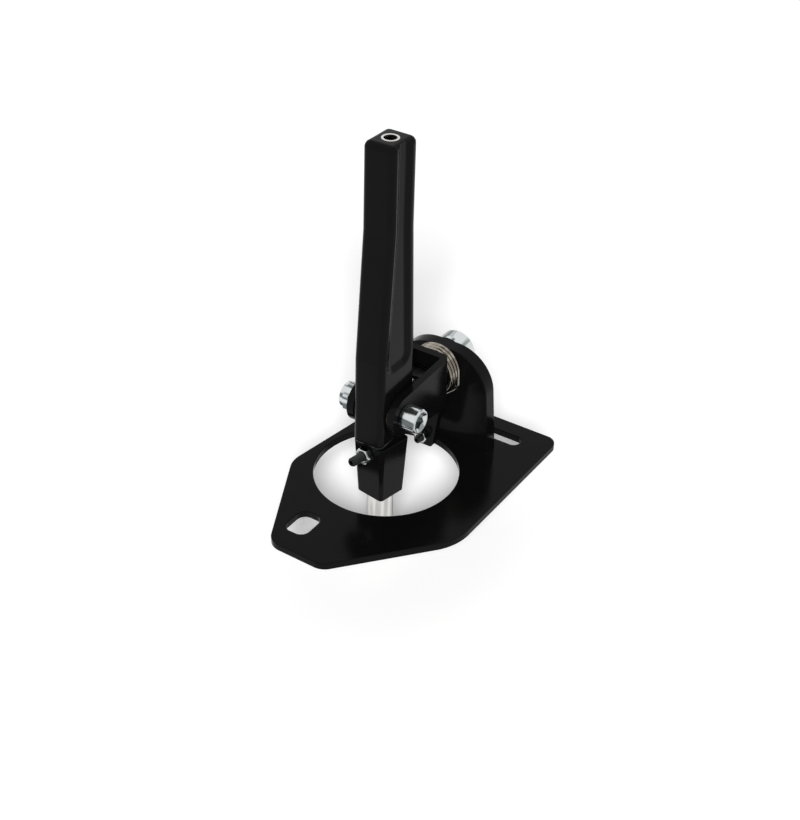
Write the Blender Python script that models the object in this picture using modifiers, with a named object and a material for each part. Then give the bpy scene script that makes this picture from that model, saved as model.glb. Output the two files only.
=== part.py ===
# Short shifter: base plate, upright bracket, sprung yoke, lever and adjustable rod with a ball end.
# Metres, +Z up. The origin is on the plate's underside, below the bracket. X runs across the car,
# and +Y runs from the lever towards the bracket. The yoke tilts about Y, the lever swings about X.
import math

import bmesh
import bpy
from mathutils import Matrix, Vector

# Gap between touching pieces, and clearance round a pin in its hole
gap = 0.0003

# Base plate: right is +X, back is +Y, and each shoulder is where a side turns in towards the front edge
plate_thickness = 0.005
plate_length = 0.1915
plate_back = 0.033
plate_right = 0.071
plate_back_left = -0.045
plate_left_shoulder = -0.0634
left_shoulder_y = -0.084
right_shoulder_y = -0.093
front_left = -0.0255
front_right = 0.0146
front_left_setback = 0.0008
back_right_radius = 0.008
back_left_radius = 0.010
left_shoulder_radius = 0.020
right_shoulder_radius = 0.036
front_corner_radius = 0.012
lever_hole_centre = (-0.006, -0.0583)
lever_hole_radius = 0.0475
front_slot_x = -0.0185
front_slot_setback = 0.0265
front_slot_width = 0.0165
front_slot_length = 0.0215
front_slot_corner = 0.006
rear_slot_width = 0.010
rear_slot_length = 0.031
rear_slot_spacing = 0.0626
rear_slot_y = 0.016
rear_slot_centre_x = 0.0042

# Upright bracket, screwed to the plate from below, a little narrower at its top
bracket_thickness = 0.010
bracket_foot_width = 0.0744
bracket_top_width = 0.0672
bracket_centre_x = 0.001
bracket_rise = 0.0138
bracket_corner_radius = 0.028
foot_screw_radius = 0.0025
foot_screw_head_radius = 0.005
foot_screw_depth = 0.014
foot_screw_inset = 0.0143
foot_screw_hex = 0.003
foot_screw_hex_depth = 0.0022

# Pivot pin, along Y through the bracket, and what it carries
pivot_height = 0.061
pin_head_radius = 0.013
pin_head_length = 0.0115
pin_head_chamfer = 0.0016
pin_collar_radius = 0.0142
pin_collar_length = 0.0025
pin_radius = 0.007
pin_thread_radius = 0.006
pin_thread_end = 0.0008
pivot_nut_flats = 0.018
pivot_nut_height = 0.010
pivot_washer_radius = 0.010
pivot_washer_thickness = 0.0015
spacer_wall = 0.0042
yoke_bush_wall = 0.0012
yoke_bush_flange = 0.001
yoke_bush_flange_radius = 0.0102

# Centring spring and its pegs
spring_wire = 0.0026
spring_radius = 0.0155
spring_turns = 3.5
spring_side_room = 0.0004
leg_room = 0.0012
leg_bend_reach = 0.003
leg_past_peg = 0.0032
peg_radius = 0.004
peg_stem_radius = 0.0025
peg_stem_length = 0.004

# Yoke, bent from one sheet; depth is from the cross bolt's axis to the web's back face,
# and the rise is of the cross bolt's axis above the pivot pin's
lever_axis_rise = 0.004
yoke_sheet = 0.005
yoke_inner_width = 0.0252
yoke_bend_radius = 0.002
yoke_depth = 0.0527
yoke_end_radius = 0.0135
yoke_web_top = 0.0155
yoke_web_foot = 0.0215
tail_milling = 0.0001
tail_shoulder = 0.004
tail_top_width = 0.024
tail_foot_width = 0.0136
tail_foot = 0.058
tail_corner_radius = 0.003
tail_shoulder_radius = 0.006

# Stop screw in the yoke's tail
stop_screw_drop = 0.050
stop_screw_radius = 0.0025
stop_screw_reach = 0.0083
stop_screw_back = 0.004
stop_screw_hex = 0.0025
stop_nut_flats = 0.008
stop_nut_height = 0.004

# Cross bolt, along X through the yoke's arms and the lever
bolt_radius = 0.0055
bolt_head_radius = 0.0083
bolt_head_length = 0.0113
bolt_head_chamfer = 0.0008
bolt_hex = 0.0095
bolt_hex_depth = 0.0055
bolt_thread_end = 0.0012
bolt_past_nut = 0.0004
lock_nut_flats = 0.0175
lock_nut_height = 0.0055
lock_collar_height = 0.0023
lock_collar_wall = 0.0011
lock_ring_wall = 0.0011
lock_ring_seat = 0.0006
washer_radius = 0.0105
washer_thickness = 0.001
sleeve_wall = 0.0017

# Lever: heights are from the cross bolt's axis, and the front is the -Y side
lever_lean = math.radians(-2.4)
lever_width = 0.022
lever_top = 0.181
lever_foot = 0.022
lever_hub_back = 0.020
lever_hub_front = 0.0165
lever_neck_back = 0.016
lever_neck_front = 0.010
lever_neck_height = 0.125
lever_hub_height = 0.040
lever_edge_radius = 0.004
recess_depth = 0.002
recess_front_flange = 0.008
recess_back_flange = 0.010
recess_foot = 0.035
recess_corner_radius = 0.004
insert_radius = 0.0055
insert_bore_radius = 0.004
insert_length = 0.020
lever_bush_wall = 0.0017
lever_bush_flange_radius = 0.0125

# Lower socket, square and tapered, turned a little about the lever's length
socket_twist = math.radians(-9)
socket_top_width = 0.0252
socket_foot_width = 0.0214
socket_foot = 0.063
socket_edge_radius = 0.0025
spigot_radius = 0.008
spigot_height = 0.0087
clamp_screw_drop = 0.029
clamp_screw_radius = 0.003
clamp_screw_length = 0.021
clamp_screw_hex = 0.003
clamp_nut_flats = 0.010
clamp_nut_height = 0.005
set_screw_hex_depth = 0.0025
set_screw_chamfer = 0.0006

# Adjuster rod and its ball
rod_radius = 0.0086
rod_top_radius = 0.006
rod_top = 0.017
rod_shoulder_gap = 0.001
rod_chamfer = 0.0006
ball_radius = 0.0127
ball_drop = 0.097
ball_top_flat_radius = 0.0086
ball_foot_flat_radius = 0.0065
ball_pin_radius = 0.005
ball_pin_sink = 0.0005

# Fineness of round shapes
sides = 32
small_sides = 20
arc_steps = 6
spring_steps = 16
ball_steps = 9

# Places that follow from the sizes above; back is the +Y side of a piece
plate_front = plate_back - plate_length
front_slot_centre = (front_slot_x, plate_front + front_slot_setback)
plate_corners = [
    (plate_right, plate_back, back_right_radius),
    (plate_back_left, plate_back, back_left_radius),
    (plate_left_shoulder, left_shoulder_y, left_shoulder_radius),
    (front_left, plate_front + front_left_setback, front_corner_radius),
    (front_right, plate_front, front_corner_radius),
    (plate_right, right_shoulder_y, right_shoulder_radius),
]
half_bracket = bracket_thickness / 2
bracket_foot = plate_thickness + gap
bracket_top = pivot_height + bracket_rise
spring_pitch = spring_wire + gap
spring_length = spring_turns * spring_pitch + spring_wire
web_back = -half_bracket - spring_length - 2 * spring_side_room
web_front = web_back - yoke_sheet
lever_axis_y = web_back - yoke_depth
spring_middle = (web_back - half_bracket) / 2
peg_drop = spring_radius + spring_wire / 2 + 2 * gap + peg_radius
half_inner = yoke_inner_width / 2
half_outer = half_inner + yoke_sheet
tail_front = yoke_depth - yoke_sheet + tail_milling
pin_shoulder = web_front - yoke_bush_flange - 2 * gap
socket_top = lever_foot + gap
rod_shoulder = socket_foot + rod_shoulder_gap
ball_top = ball_drop - math.sqrt(ball_radius**2 - ball_top_flat_radius**2)
ball_foot = ball_drop + math.sqrt(ball_radius**2 - ball_foot_flat_radius**2)

# Turns that lay a shape made along Z along another axis
along_x = (0, math.radians(90), 0)
along_minus_x = (0, math.radians(-90), 0)
along_y = (math.radians(-90), 0, 0)
along_minus_y = (math.radians(90), 0, 0)
along_minus_z = (math.radians(180), 0, 0)
# Turns that stand a flat outline up: as (x, z) with its thickness along Y, or (y, z) with it along X
facing_y = (math.radians(90), 0, 0)
facing_x = (math.radians(90), 0, math.radians(90))


def clear_scene():
    for thing in list(bpy.data.objects):
        bpy.data.objects.remove(thing, do_unlink=True)


def make_collection(name):
    group = bpy.data.collections.new(name)
    bpy.context.scene.collection.children.link(group)
    return group


clear_scene()
parts = make_collection("short_shifter")
cutters = make_collection("cutters")
guides = make_collection("guides")


def make_material(name, colour, metallic, roughness):
    material = bpy.data.materials.new(name)
    material.use_nodes = True
    shader = material.node_tree.nodes["Principled BSDF"]
    shader.inputs["Base Color"].default_value = (*colour, 1.0)
    shader.inputs["Metallic"].default_value = metallic
    shader.inputs["Roughness"].default_value = roughness
    material.diffuse_color = (*colour, 1.0)
    return material


def powder_coat(name):
    return make_material(name + "_powder_coat", (0.012, 0.012, 0.013), 0.0, 0.38)


def zinc_plate(name):
    return make_material(name + "_zinc", (0.72, 0.74, 0.76), 1.0, 0.28)


def bright_steel(name):
    return make_material(name + "_steel", (0.62, 0.60, 0.56), 1.0, 0.30)


def bronze(name):
    return make_material(name + "_bronze", (0.55, 0.38, 0.18), 1.0, 0.35)


def black_oxide(name):
    return make_material(name + "_black_oxide", (0.03, 0.03, 0.03), 0.6, 0.40)


def nylon(name):
    return make_material(name + "_nylon", (0.75, 0.75, 0.72), 0.0, 0.45)


def add_empty(name, place, parent=None, turn=(0, 0, 0)):
    empty = bpy.data.objects.new(name, None)
    empty.location = place
    empty.rotation_euler = turn
    empty.parent = parent
    guides.objects.link(empty)
    return empty


pivot_axis = add_empty("pivot_axis", (0, 0, pivot_height))
yoke_axis = add_empty("yoke_axis", (0, lever_axis_y, pivot_height + lever_axis_rise))
web_axis = add_empty("web_axis", (0, 0, -lever_axis_rise), yoke_axis)
lever_axis = add_empty("lever_axis", (0, 0, 0), yoke_axis, (lever_lean, 0, 0))
rod_axis = add_empty("rod_axis", (0, 0, 0), lever_axis, (0, 0, socket_twist))


def add_object(name, mesh, group, parent=None, place=(0, 0, 0), turn=(0, 0, 0)):
    thing = bpy.data.objects.new(name, mesh)
    thing.parent = parent
    thing.location = place
    thing.rotation_euler = turn
    group.objects.link(thing)
    if group is cutters:
        thing.hide_render = True
        thing.display_type = "WIRE"
    return thing


def finish(thing, material):
    thing.data.materials.clear()
    thing.data.materials.append(material)
    thing.data.shade_smooth()
    thing.data.set_sharp_from_angle(angle=math.radians(35))


def circle(radius, centre=(0, 0), count=sides):
    points = []
    for i in range(count):
        angle = 2 * math.pi * i / count
        points.append((centre[0] + radius * math.cos(angle), centre[1] + radius * math.sin(angle)))
    return points


def hexagon(flats):
    return circle(flats / math.sqrt(3), count=6)


def rounded(corners, steps=arc_steps):
    # Corners are (x, y, radius); a radius of 0 stays sharp
    points = []
    for i, (x, y, radius) in enumerate(corners):
        if radius == 0:
            points.append((x, y))
            continue
        corner = Vector((x, y))
        before = (Vector(corners[i - 1][:2]) - corner).normalized()
        after = (Vector(corners[(i + 1) % len(corners)][:2]) - corner).normalized()
        half = before.angle(after) / 2
        centre = corner + (before + after).normalized() * radius / math.sin(half)
        first = corner + before * radius / math.tan(half) - centre
        last = corner + after * radius / math.tan(half) - centre
        start = math.atan2(first.y, first.x)
        clockwise = first.angle_signed(last)
        for step in range(steps + 1):
            angle = start - clockwise * step / steps
            points.append((centre.x + radius * math.cos(angle), centre.y + radius * math.sin(angle)))
    return points


def slot(centre, size_x, size_y):
    # Slot with round ends on its longer side
    radius = min(size_x, size_y) / 2
    straight_x = size_x / 2 - radius
    straight_y = size_y / 2 - radius
    steps = 2 * arc_steps
    points = []
    for side in (1, -1):
        for step in range(steps + 1):
            angle = math.pi * step / steps - (math.pi / 2 if straight_x > 0 else 0)
            x = straight_x + radius * math.cos(angle)
            y = straight_y + radius * math.sin(angle)
            points.append((centre[0] + side * x, centre[1] + side * y))
    return points


def closed_mesh(thing, name):
    # Mesh of the evaluated object, with its loose caps and seams welded and its faces pointing out
    evaluated = thing.evaluated_get(bpy.context.evaluated_depsgraph_get())
    mesh = bpy.data.meshes.new_from_object(evaluated)
    mesh.name = name
    shape = bmesh.new()
    shape.from_mesh(mesh)
    bmesh.ops.remove_doubles(shape, verts=shape.verts, dist=0.000005)
    bmesh.ops.recalc_face_normals(shape, faces=shape.faces)
    shape.to_mesh(mesh)
    shape.free()
    return mesh


def flat_piece(name, loops, thickness, group, parent=None, place=(0, 0, 0), turn=(0, 0, 0)):
    # Flat outline, its first loop outside and the rest holes, with its thickness about its plane
    curve = bpy.data.curves.new(name, "CURVE")
    curve.dimensions = "2D"
    curve.fill_mode = "BOTH"
    curve.extrude = thickness / 2
    for loop in loops:
        spline = curve.splines.new("POLY")
        spline.points.add(len(loop) - 1)
        for point, (x, y) in zip(spline.points, loop):
            point.co = (x, y, 0, 1)
        spline.use_cyclic_u = True
    holder = add_object(name + "_curve", curve, guides)
    mesh = closed_mesh(holder, name)
    bpy.data.objects.remove(holder, do_unlink=True)
    return add_object(name, mesh, group, parent, place, turn)


def turned_piece(name, profile, group, parent=None, place=(0, 0, 0), turn=(0, 0, 0), closed=False,
                 count=sides):
    # Profile points are (radius, height), from the top down the outer side
    mesh = bpy.data.meshes.new(name)
    edges = [(i, i + 1) for i in range(len(profile) - 1)]
    if closed:
        edges.append((len(profile) - 1, 0))
    mesh.from_pydata([(radius, 0, height) for radius, height in profile], edges, [])
    thing = add_object(name, mesh, group, parent, place, turn)
    screw = thing.modifiers.new("turning", "SCREW")
    screw.steps = count
    screw.render_steps = count
    screw.use_merge_vertices = True
    screw.merge_threshold = 0.00001
    whole = closed_mesh(thing, name)
    thing.modifiers.clear()
    thing.data = whole
    return thing


def ring(name, outer, inner, low, high, parent, place=(0, 0, 0), turn=(0, 0, 0)):
    profile = [(outer, high), (outer, low), (inner, low), (inner, high)]
    return turned_piece(name, profile, parts, parent, place, turn, closed=True, count=small_sides)


def flanged_bush(name, outer, wall, length, flange_radius, flange, parent, place, turn):
    # The flange is above height 0, and the barrel below it
    inner = outer - wall
    profile = [
        (flange_radius, flange),
        (flange_radius, 0),
        (outer, 0),
        (outer, -length),
        (inner, -length),
        (inner, flange),
    ]
    bush = turned_piece(name, profile, parts, parent, place, turn, closed=True, count=small_sides)
    finish(bush, bronze(name))


def soften(thing, width, segments=1):
    bevel = thing.modifiers.new("soft_edges", "BEVEL")
    bevel.width = width
    bevel.segments = segments
    bevel.limit_method = "ANGLE"
    bevel.angle_limit = math.radians(60)


def combine(thing, tool, operation="DIFFERENCE"):
    modifier = thing.modifiers.new(tool.name, "BOOLEAN")
    modifier.object = tool
    modifier.operation = operation
    modifier.solver = "EXACT"


def bore(thing, name, radius, low, high, parent=None, place=(0, 0, 0), turn=(0, 0, 0)):
    profile = [(0, high), (radius, high), (radius, low), (0, low)]
    combine(thing, turned_piece(name, profile, cutters, parent, place, turn, count=small_sides))


def hex_socket(thing, flats, depth, top, parent, place, turn):
    # Hexagonal hole, "depth" deep below the height "top"; its cutter stands out as far again
    cutter = flat_piece(thing.name + "_hex", [hexagon(flats)], 2 * depth, cutters, parent, place, turn)
    for vertex in cutter.data.vertices:
        vertex.co.z += top
    combine(thing, cutter)


def set_screw(name, radius, length, hex_flats, parent, place, turn):
    # Headless screw from height 0 up, with a hex socket in its top
    inner = radius - set_screw_chamfer
    profile = [
        (0, length),
        (inner, length),
        (radius, length - set_screw_chamfer),
        (radius, set_screw_chamfer),
        (inner, 0),
        (0, 0),
    ]
    screw = turned_piece(name, profile, parts, parent, place, turn, count=small_sides)
    hex_socket(screw, hex_flats, set_screw_hex_depth, length, parent, place, turn)
    finish(screw, black_oxide(name))


def hex_nut(name, flats, height, hole_radius, parent, place, turn, collar=(), coat=zinc_plate):
    # Nut from height 0 up, its corners turned off at 30 degrees
    # A collar is (outer radius, height, inner radius, depth of the plain bore below it)
    corner = flats / math.sqrt(3) + gap
    face = flats / 2 - gap
    slope = (corner - face) * math.tan(math.radians(30))
    profile = [(face, height), (corner, height - slope), (corner, slope), (face, 0), (hole_radius, 0)]
    top = height
    if collar:
        collar_radius, collar_height, collar_inner, seat = collar
        top = height + collar_height
        profile = [(collar_inner, top), (collar_radius, top), (collar_radius, height)] + profile
        profile += [(hole_radius, height + seat), (collar_inner, height + seat)]
    else:
        profile.append((hole_radius, height))
    nut = turned_piece(name, profile, parts, parent, place, turn, closed=True, count=small_sides)
    prism = flat_piece(name + "_prism", [hexagon(flats)], 2 * (top + slope), cutters, parent, place, turn)
    combine(nut, prism, "INTERSECT")
    finish(nut, coat(name))


def foot_screw_places():
    half = bracket_foot_width / 2 - foot_screw_inset
    return {"left": bracket_centre_x - half, "right": bracket_centre_x + half}


def foot_hole(thing, side, x):
    # Countersunk hole for the foot screw, open below the plate and a little past the screw's end
    shank = foot_screw_radius + gap
    head = foot_screw_head_radius + gap
    cone_top = foot_screw_head_radius - foot_screw_radius + gap
    top = plate_thickness + foot_screw_depth + 3 * gap
    profile = [(0, top), (shank, top), (shank, cone_top), (head, gap), (head, -gap), (0, -gap)]
    name = thing.name + "_foot_hole_" + side
    combine(thing, turned_piece(name, profile, cutters, place=(x, 0, 0), count=small_sides))


def front_slot_outline():
    x, y = front_slot_centre
    half_width = front_slot_width / 2
    half_length = front_slot_length / 2
    return rounded(
        [
            (x - half_width, y - half_length, front_slot_corner),
            (x + half_width, y - half_length, front_slot_corner),
            (x + half_width, y + half_length, front_slot_corner),
            (x - half_width, y + half_length, front_slot_corner),
        ]
    )


def base_plate():
    loops = [
        rounded(plate_corners),
        circle(lever_hole_radius, lever_hole_centre, 2 * sides),
        front_slot_outline(),
    ]
    plate = flat_piece("base_plate", loops, plate_thickness, parts, place=(0, 0, plate_thickness / 2))
    for name, x in (("rear_slot_left", -rear_slot_spacing / 2), ("rear_slot_right", rear_slot_spacing / 2)):
        outline = slot((rear_slot_centre_x + x, rear_slot_y), rear_slot_length, rear_slot_width)
        combine(plate, flat_piece(name, [outline], 3 * plate_thickness, cutters))
    for side, x in foot_screw_places().items():
        foot_hole(plate, side, x)
    finish(plate, powder_coat("base_plate"))


def upright_bracket():
    half_foot = bracket_foot_width / 2
    half_top = bracket_top_width / 2
    corners = [
        (bracket_centre_x - half_foot, bracket_foot, 0),
        (bracket_centre_x + half_foot, bracket_foot, 0),
        (bracket_centre_x + half_top, bracket_top, bracket_corner_radius),
        (bracket_centre_x - half_top, bracket_top, bracket_corner_radius),
    ]
    loops = [rounded(corners, 2 * arc_steps), circle(pin_radius + gap, (0, pivot_height))]
    bracket = flat_piece("upright_bracket", loops, bracket_thickness, parts, turn=facing_y)
    for side, x in foot_screw_places().items():
        foot_hole(bracket, side, x)
    peg_hole(bracket, pivot_axis, -half_bracket, along_y)
    finish(bracket, powder_coat("upright_bracket"))


def foot_screws():
    cone = foot_screw_head_radius - foot_screw_radius
    top = plate_thickness + foot_screw_depth
    profile = [(0, top), (foot_screw_radius, top), (foot_screw_radius, cone + gap)]
    profile += [(foot_screw_head_radius, gap), (0, gap)]
    for side, x in foot_screw_places().items():
        name = "foot_screw_" + side
        screw = turned_piece(name, profile, parts, place=(x, 0, 0), count=small_sides)
        hex_socket(screw, foot_screw_hex, foot_screw_hex_depth, -gap, None, (x, 0, 0), along_minus_z)
        finish(screw, zinc_plate(name))


def peg_hole(thing, parent, face, inwards):
    # Blind hole for a spring peg's stem, in the face at y
    place = (0, face, -peg_drop)
    bore(thing, thing.name + "_peg_hole", peg_stem_radius + gap, -gap, peg_stem_length + gap,
         parent, place, inwards)


def spring_peg(name, parent, face, outwards):
    # Peg on the face at y, with its stem in the face's hole; it ends just short of the spring's middle
    length = (-half_bracket - web_back) / 2 - gap
    profile = [
        (0, length),
        (peg_radius - gap, length),
        (peg_radius, length - gap),
        (peg_radius, gap),
        (peg_stem_radius, gap),
        (peg_stem_radius, -peg_stem_length),
        (0, -peg_stem_length),
    ]
    peg = turned_piece(name, profile, parts, parent, (0, face, -peg_drop), outwards, count=small_sides)
    finish(peg, zinc_plate(name))


def pivot_pin():
    back = half_bracket + gap
    collar = back + pin_collar_length
    head = collar + pin_head_length
    end = pin_shoulder - gap - pivot_washer_thickness - gap - pivot_nut_height - pin_thread_end
    profile = [
        (0, head),
        (pin_head_radius - pin_head_chamfer, head),
        (pin_head_radius, head - pin_head_chamfer),
        (pin_head_radius, collar),
        (pin_collar_radius, collar),
        (pin_collar_radius, back),
        (pin_radius, back),
        (pin_radius, pin_shoulder),
        (pin_thread_radius, pin_shoulder),
        (pin_thread_radius, end + 2 * gap),
        (pin_thread_radius - 2 * gap, end),
        (0, end),
    ]
    pin = turned_piece("pivot_pin", profile, parts, pivot_axis, turn=along_y)
    finish(pin, zinc_plate("pivot_pin"))


def pivot_stack():
    # Spacer behind the yoke's web, then washer and nut in front of it
    inner = pin_radius + gap
    spacer_front = web_back + gap + yoke_bush_flange + gap
    spacer = ring("pivot_spacer", inner + spacer_wall, inner, spacer_front, -half_bracket - gap,
                  pivot_axis, turn=along_y)
    finish(spacer, bright_steel("pivot_spacer"))
    washer_back = pin_shoulder - gap
    washer_front = washer_back - pivot_washer_thickness
    hole = pin_thread_radius + gap
    washer = ring("pivot_washer", pivot_washer_radius, hole, washer_front, washer_back,
                  pivot_axis, turn=along_y)
    finish(washer, black_oxide("pivot_washer"))
    nut_back = (0, washer_front - gap, 0)
    hex_nut("pivot_nut", pivot_nut_flats, pivot_nut_height, hole, pivot_axis, nut_back, along_minus_y,
            coat=black_oxide)


def bent(points, reach, steps):
    # Route through the points, each inner corner rounded from "reach" before it to "reach" after it
    route = [points[0]]
    for before, corner, after in zip(points, points[1:], points[2:]):
        first = corner + (before - corner).normalized() * reach
        last = corner + (after - corner).normalized() * reach
        for step in range(steps + 1):
            t = step / steps
            route.append(first * (1 - t) ** 2 + corner * 2 * t * (1 - t) + last * t**2)
    route.append(points[-1])
    return route


def spring_leg(side, y):
    # From the coil down past both pegs, clear of the turns beside it
    clear_radius = spring_radius + spring_wire + gap
    beside_peg = side * (peg_radius + gap + spring_wire / 2)
    knee_drop = math.sqrt((clear_radius + leg_room) ** 2 - spring_radius**2)
    corners = [
        Vector((side * spring_radius, y, 0)),
        Vector((side * spring_radius, y, -knee_drop)),
        Vector((beside_peg, spring_middle, -clear_radius - gap)),
        Vector((beside_peg, spring_middle, -peg_drop - leg_past_peg)),
    ]
    return bent(corners, leg_bend_reach, 4)


def centring_spring():
    first_y = -half_bracket - spring_side_room - spring_wire / 2
    coil = []
    for step in range(round(spring_turns * spring_steps) + 1):
        turns = step / spring_steps
        angle = 2 * math.pi * turns
        y = first_y - spring_pitch * turns
        coil.append(Vector((spring_radius * math.cos(angle), y, spring_radius * math.sin(angle))))
    last_side = 1 if coil[-1].x > 0 else -1
    first_leg = spring_leg(1, coil[0].y)
    last_leg = spring_leg(last_side, coil[-1].y)
    route = first_leg[:0:-1] + coil + last_leg[1:]
    curve = bpy.data.curves.new("centring_spring", "CURVE")
    curve.dimensions = "3D"
    curve.bevel_depth = spring_wire / 2
    curve.bevel_resolution = 2
    curve.use_fill_caps = True
    spline = curve.splines.new("POLY")
    spline.points.add(len(route) - 1)
    for point, place in zip(spline.points, route):
        point.co = (*place, 1)
    holder = add_object("centring_spring_curve", curve, guides)
    mesh = closed_mesh(holder, "centring_spring")
    bpy.data.objects.remove(holder, do_unlink=True)
    spring = add_object("centring_spring", mesh, parts, pivot_axis)
    finish(spring, bright_steel("centring_spring"))


def yoke():
    # Plan of the bent sheet, cut to its side and front outlines, which stand clear of it by one sheet
    room = yoke_sheet
    front = -yoke_end_radius - room
    web_inside = yoke_depth - yoke_sheet
    outer_bend = yoke_bend_radius + yoke_sheet
    plan = rounded(
        [
            (-half_outer, front, 0),
            (-half_inner, front, 0),
            (-half_inner, web_inside, yoke_bend_radius),
            (half_inner, web_inside, yoke_bend_radius),
            (half_inner, front, 0),
            (half_outer, front, 0),
            (half_outer, yoke_depth, outer_bend),
            (-half_outer, yoke_depth, outer_bend),
        ]
    )
    sheet = flat_piece("yoke", [plan], 2 * (tail_foot + room), parts, yoke_axis)
    combine(sheet, yoke_side_outline(room), "INTERSECT")
    combine(sheet, yoke_front_outline(room), "INTERSECT")
    back = (0, yoke_depth, 0)
    stop_place = (0, yoke_depth, -stop_screw_drop)
    through = -yoke_sheet - gap
    past_arms = half_outer + gap
    bush_hole = pin_radius + gap + yoke_bush_wall + gap
    bore(sheet, "yoke_bush_hole", bush_hole, through, gap, web_axis, back, along_y)
    bore(sheet, "yoke_stop_hole", stop_screw_radius + gap, through, gap, yoke_axis, stop_place, along_y)
    bore(sheet, "yoke_bolt_hole", bolt_radius + gap, -past_arms, past_arms, yoke_axis, turn=along_x)
    peg_hole(sheet, web_axis, yoke_depth, along_minus_y)
    finish(sheet, powder_coat("yoke"))


def yoke_side_outline(room):
    # Round arm end, met by the lower and upper edges on its tangents, with the tail at the web
    radius = yoke_end_radius
    back = yoke_depth + room
    to_foot = math.atan2(-yoke_web_foot, tail_front)
    to_foot -= math.acos(radius / math.hypot(tail_front, yoke_web_foot))
    to_top = math.atan2(yoke_web_top, back) - 2 * math.pi
    to_top += math.acos(radius / math.hypot(back, yoke_web_top))
    steps = 3 * arc_steps
    points = []
    for step in range(steps + 1):
        angle = to_top + (to_foot - to_top) * step / steps
        points.append((radius * math.cos(angle), radius * math.sin(angle)))
    deepest = tail_foot + room
    points += [(tail_front, -yoke_web_foot), (tail_front, -deepest), (back, -deepest), (back, yoke_web_top)]
    return flat_piece("yoke_side", [points], 2 * (half_outer + room), cutters, yoke_axis, turn=facing_x)


def yoke_front_outline(room):
    side = half_outer + room
    top = yoke_end_radius + room
    shoulder = yoke_web_foot + tail_shoulder
    half_top = tail_top_width / 2
    half_foot = tail_foot_width / 2
    corners = [
        (-half_top, -shoulder, tail_shoulder_radius),
        (-half_foot, -tail_foot, tail_corner_radius),
        (half_foot, -tail_foot, tail_corner_radius),
        (half_top, -shoulder, tail_shoulder_radius),
        (half_outer, -yoke_web_foot, 0),
        (side, -yoke_web_foot, 0),
        (side, top, 0),
        (-side, top, 0),
        (-side, -yoke_web_foot, 0),
        (-half_outer, -yoke_web_foot, 0),
    ]
    thickness = 2 * (yoke_depth + room)
    return flat_piece("yoke_front", [rounded(corners)], thickness, cutters, yoke_axis, turn=facing_y)


def yoke_bushes():
    outer = pin_radius + gap + yoke_bush_wall
    length = yoke_sheet / 2
    back = (0, yoke_depth + gap, 0)
    front = (0, yoke_depth - yoke_sheet - gap, 0)
    for name, place, turn in (("yoke_bush_back", back, along_y), ("yoke_bush_front", front, along_minus_y)):
        flanged_bush(name, outer, yoke_bush_wall, length, yoke_bush_flange_radius, yoke_bush_flange,
                     web_axis, place, turn)


def stop_screw():
    length = stop_screw_reach + yoke_sheet - tail_milling + stop_screw_back
    back_end = (0, yoke_depth + stop_screw_back, -stop_screw_drop)
    set_screw("stop_screw", stop_screw_radius, length, stop_screw_hex, yoke_axis, back_end, along_minus_y)
    nut_back = (0, tail_front - gap, -stop_screw_drop)
    hex_nut("stop_screw_nut", stop_nut_flats, stop_nut_height, stop_screw_radius + gap,
            yoke_axis, nut_back, along_minus_y)


def cross_bolt():
    # Heights are along X from the bolt's middle, the head on the +X side and the lock nut on the other
    head = half_outer + gap
    head_top = head + bolt_head_length
    washer_outside = half_outer + gap + washer_thickness
    nut_inside = washer_outside + gap
    end = nut_inside + lock_nut_height + lock_collar_height + bolt_past_nut
    hole = bolt_radius + gap
    profile = [
        (0, head_top),
        (bolt_head_radius - bolt_head_chamfer, head_top),
        (bolt_head_radius, head_top - bolt_head_chamfer),
        (bolt_head_radius, head),
        (bolt_radius, head),
        (bolt_radius, -end + bolt_thread_end),
        (bolt_radius - bolt_thread_end, -end),
        (0, -end),
    ]
    bolt = turned_piece("cross_bolt", profile, parts, yoke_axis, turn=along_x)
    hex_socket(bolt, bolt_hex, bolt_hex_depth, head_top, yoke_axis, (0, 0, 0), along_x)
    finish(bolt, zinc_plate("cross_bolt"))
    washer = ring("cross_bolt_washer", washer_radius, hole, half_outer + gap, washer_outside,
                  yoke_axis, turn=along_minus_x)
    finish(washer, black_oxide("cross_bolt_washer"))
    half_sleeve = half_inner - gap
    sleeve = ring("cross_bolt_sleeve", hole + sleeve_wall, hole, -half_sleeve, half_sleeve,
                  yoke_axis, turn=along_x)
    finish(sleeve, bright_steel("cross_bolt_sleeve"))
    nut_place = (-nut_inside, 0, 0)
    ring_outer = hole + lock_ring_wall
    collar_inner = ring_outer + gap
    collar = (collar_inner + lock_collar_wall, lock_collar_height, collar_inner, lock_ring_seat)
    hex_nut("cross_bolt_nut", lock_nut_flats, lock_nut_height, hole,
            yoke_axis, nut_place, along_minus_x, collar)
    ring_foot = lock_nut_height + lock_ring_seat + gap
    ring_top = lock_nut_height + lock_collar_height - gap
    lock_ring = ring("nut_lock_ring", ring_outer, hole, ring_foot, ring_top,
                     yoke_axis, nut_place, along_minus_x)
    finish(lock_ring, nylon("nut_lock_ring"))


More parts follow.
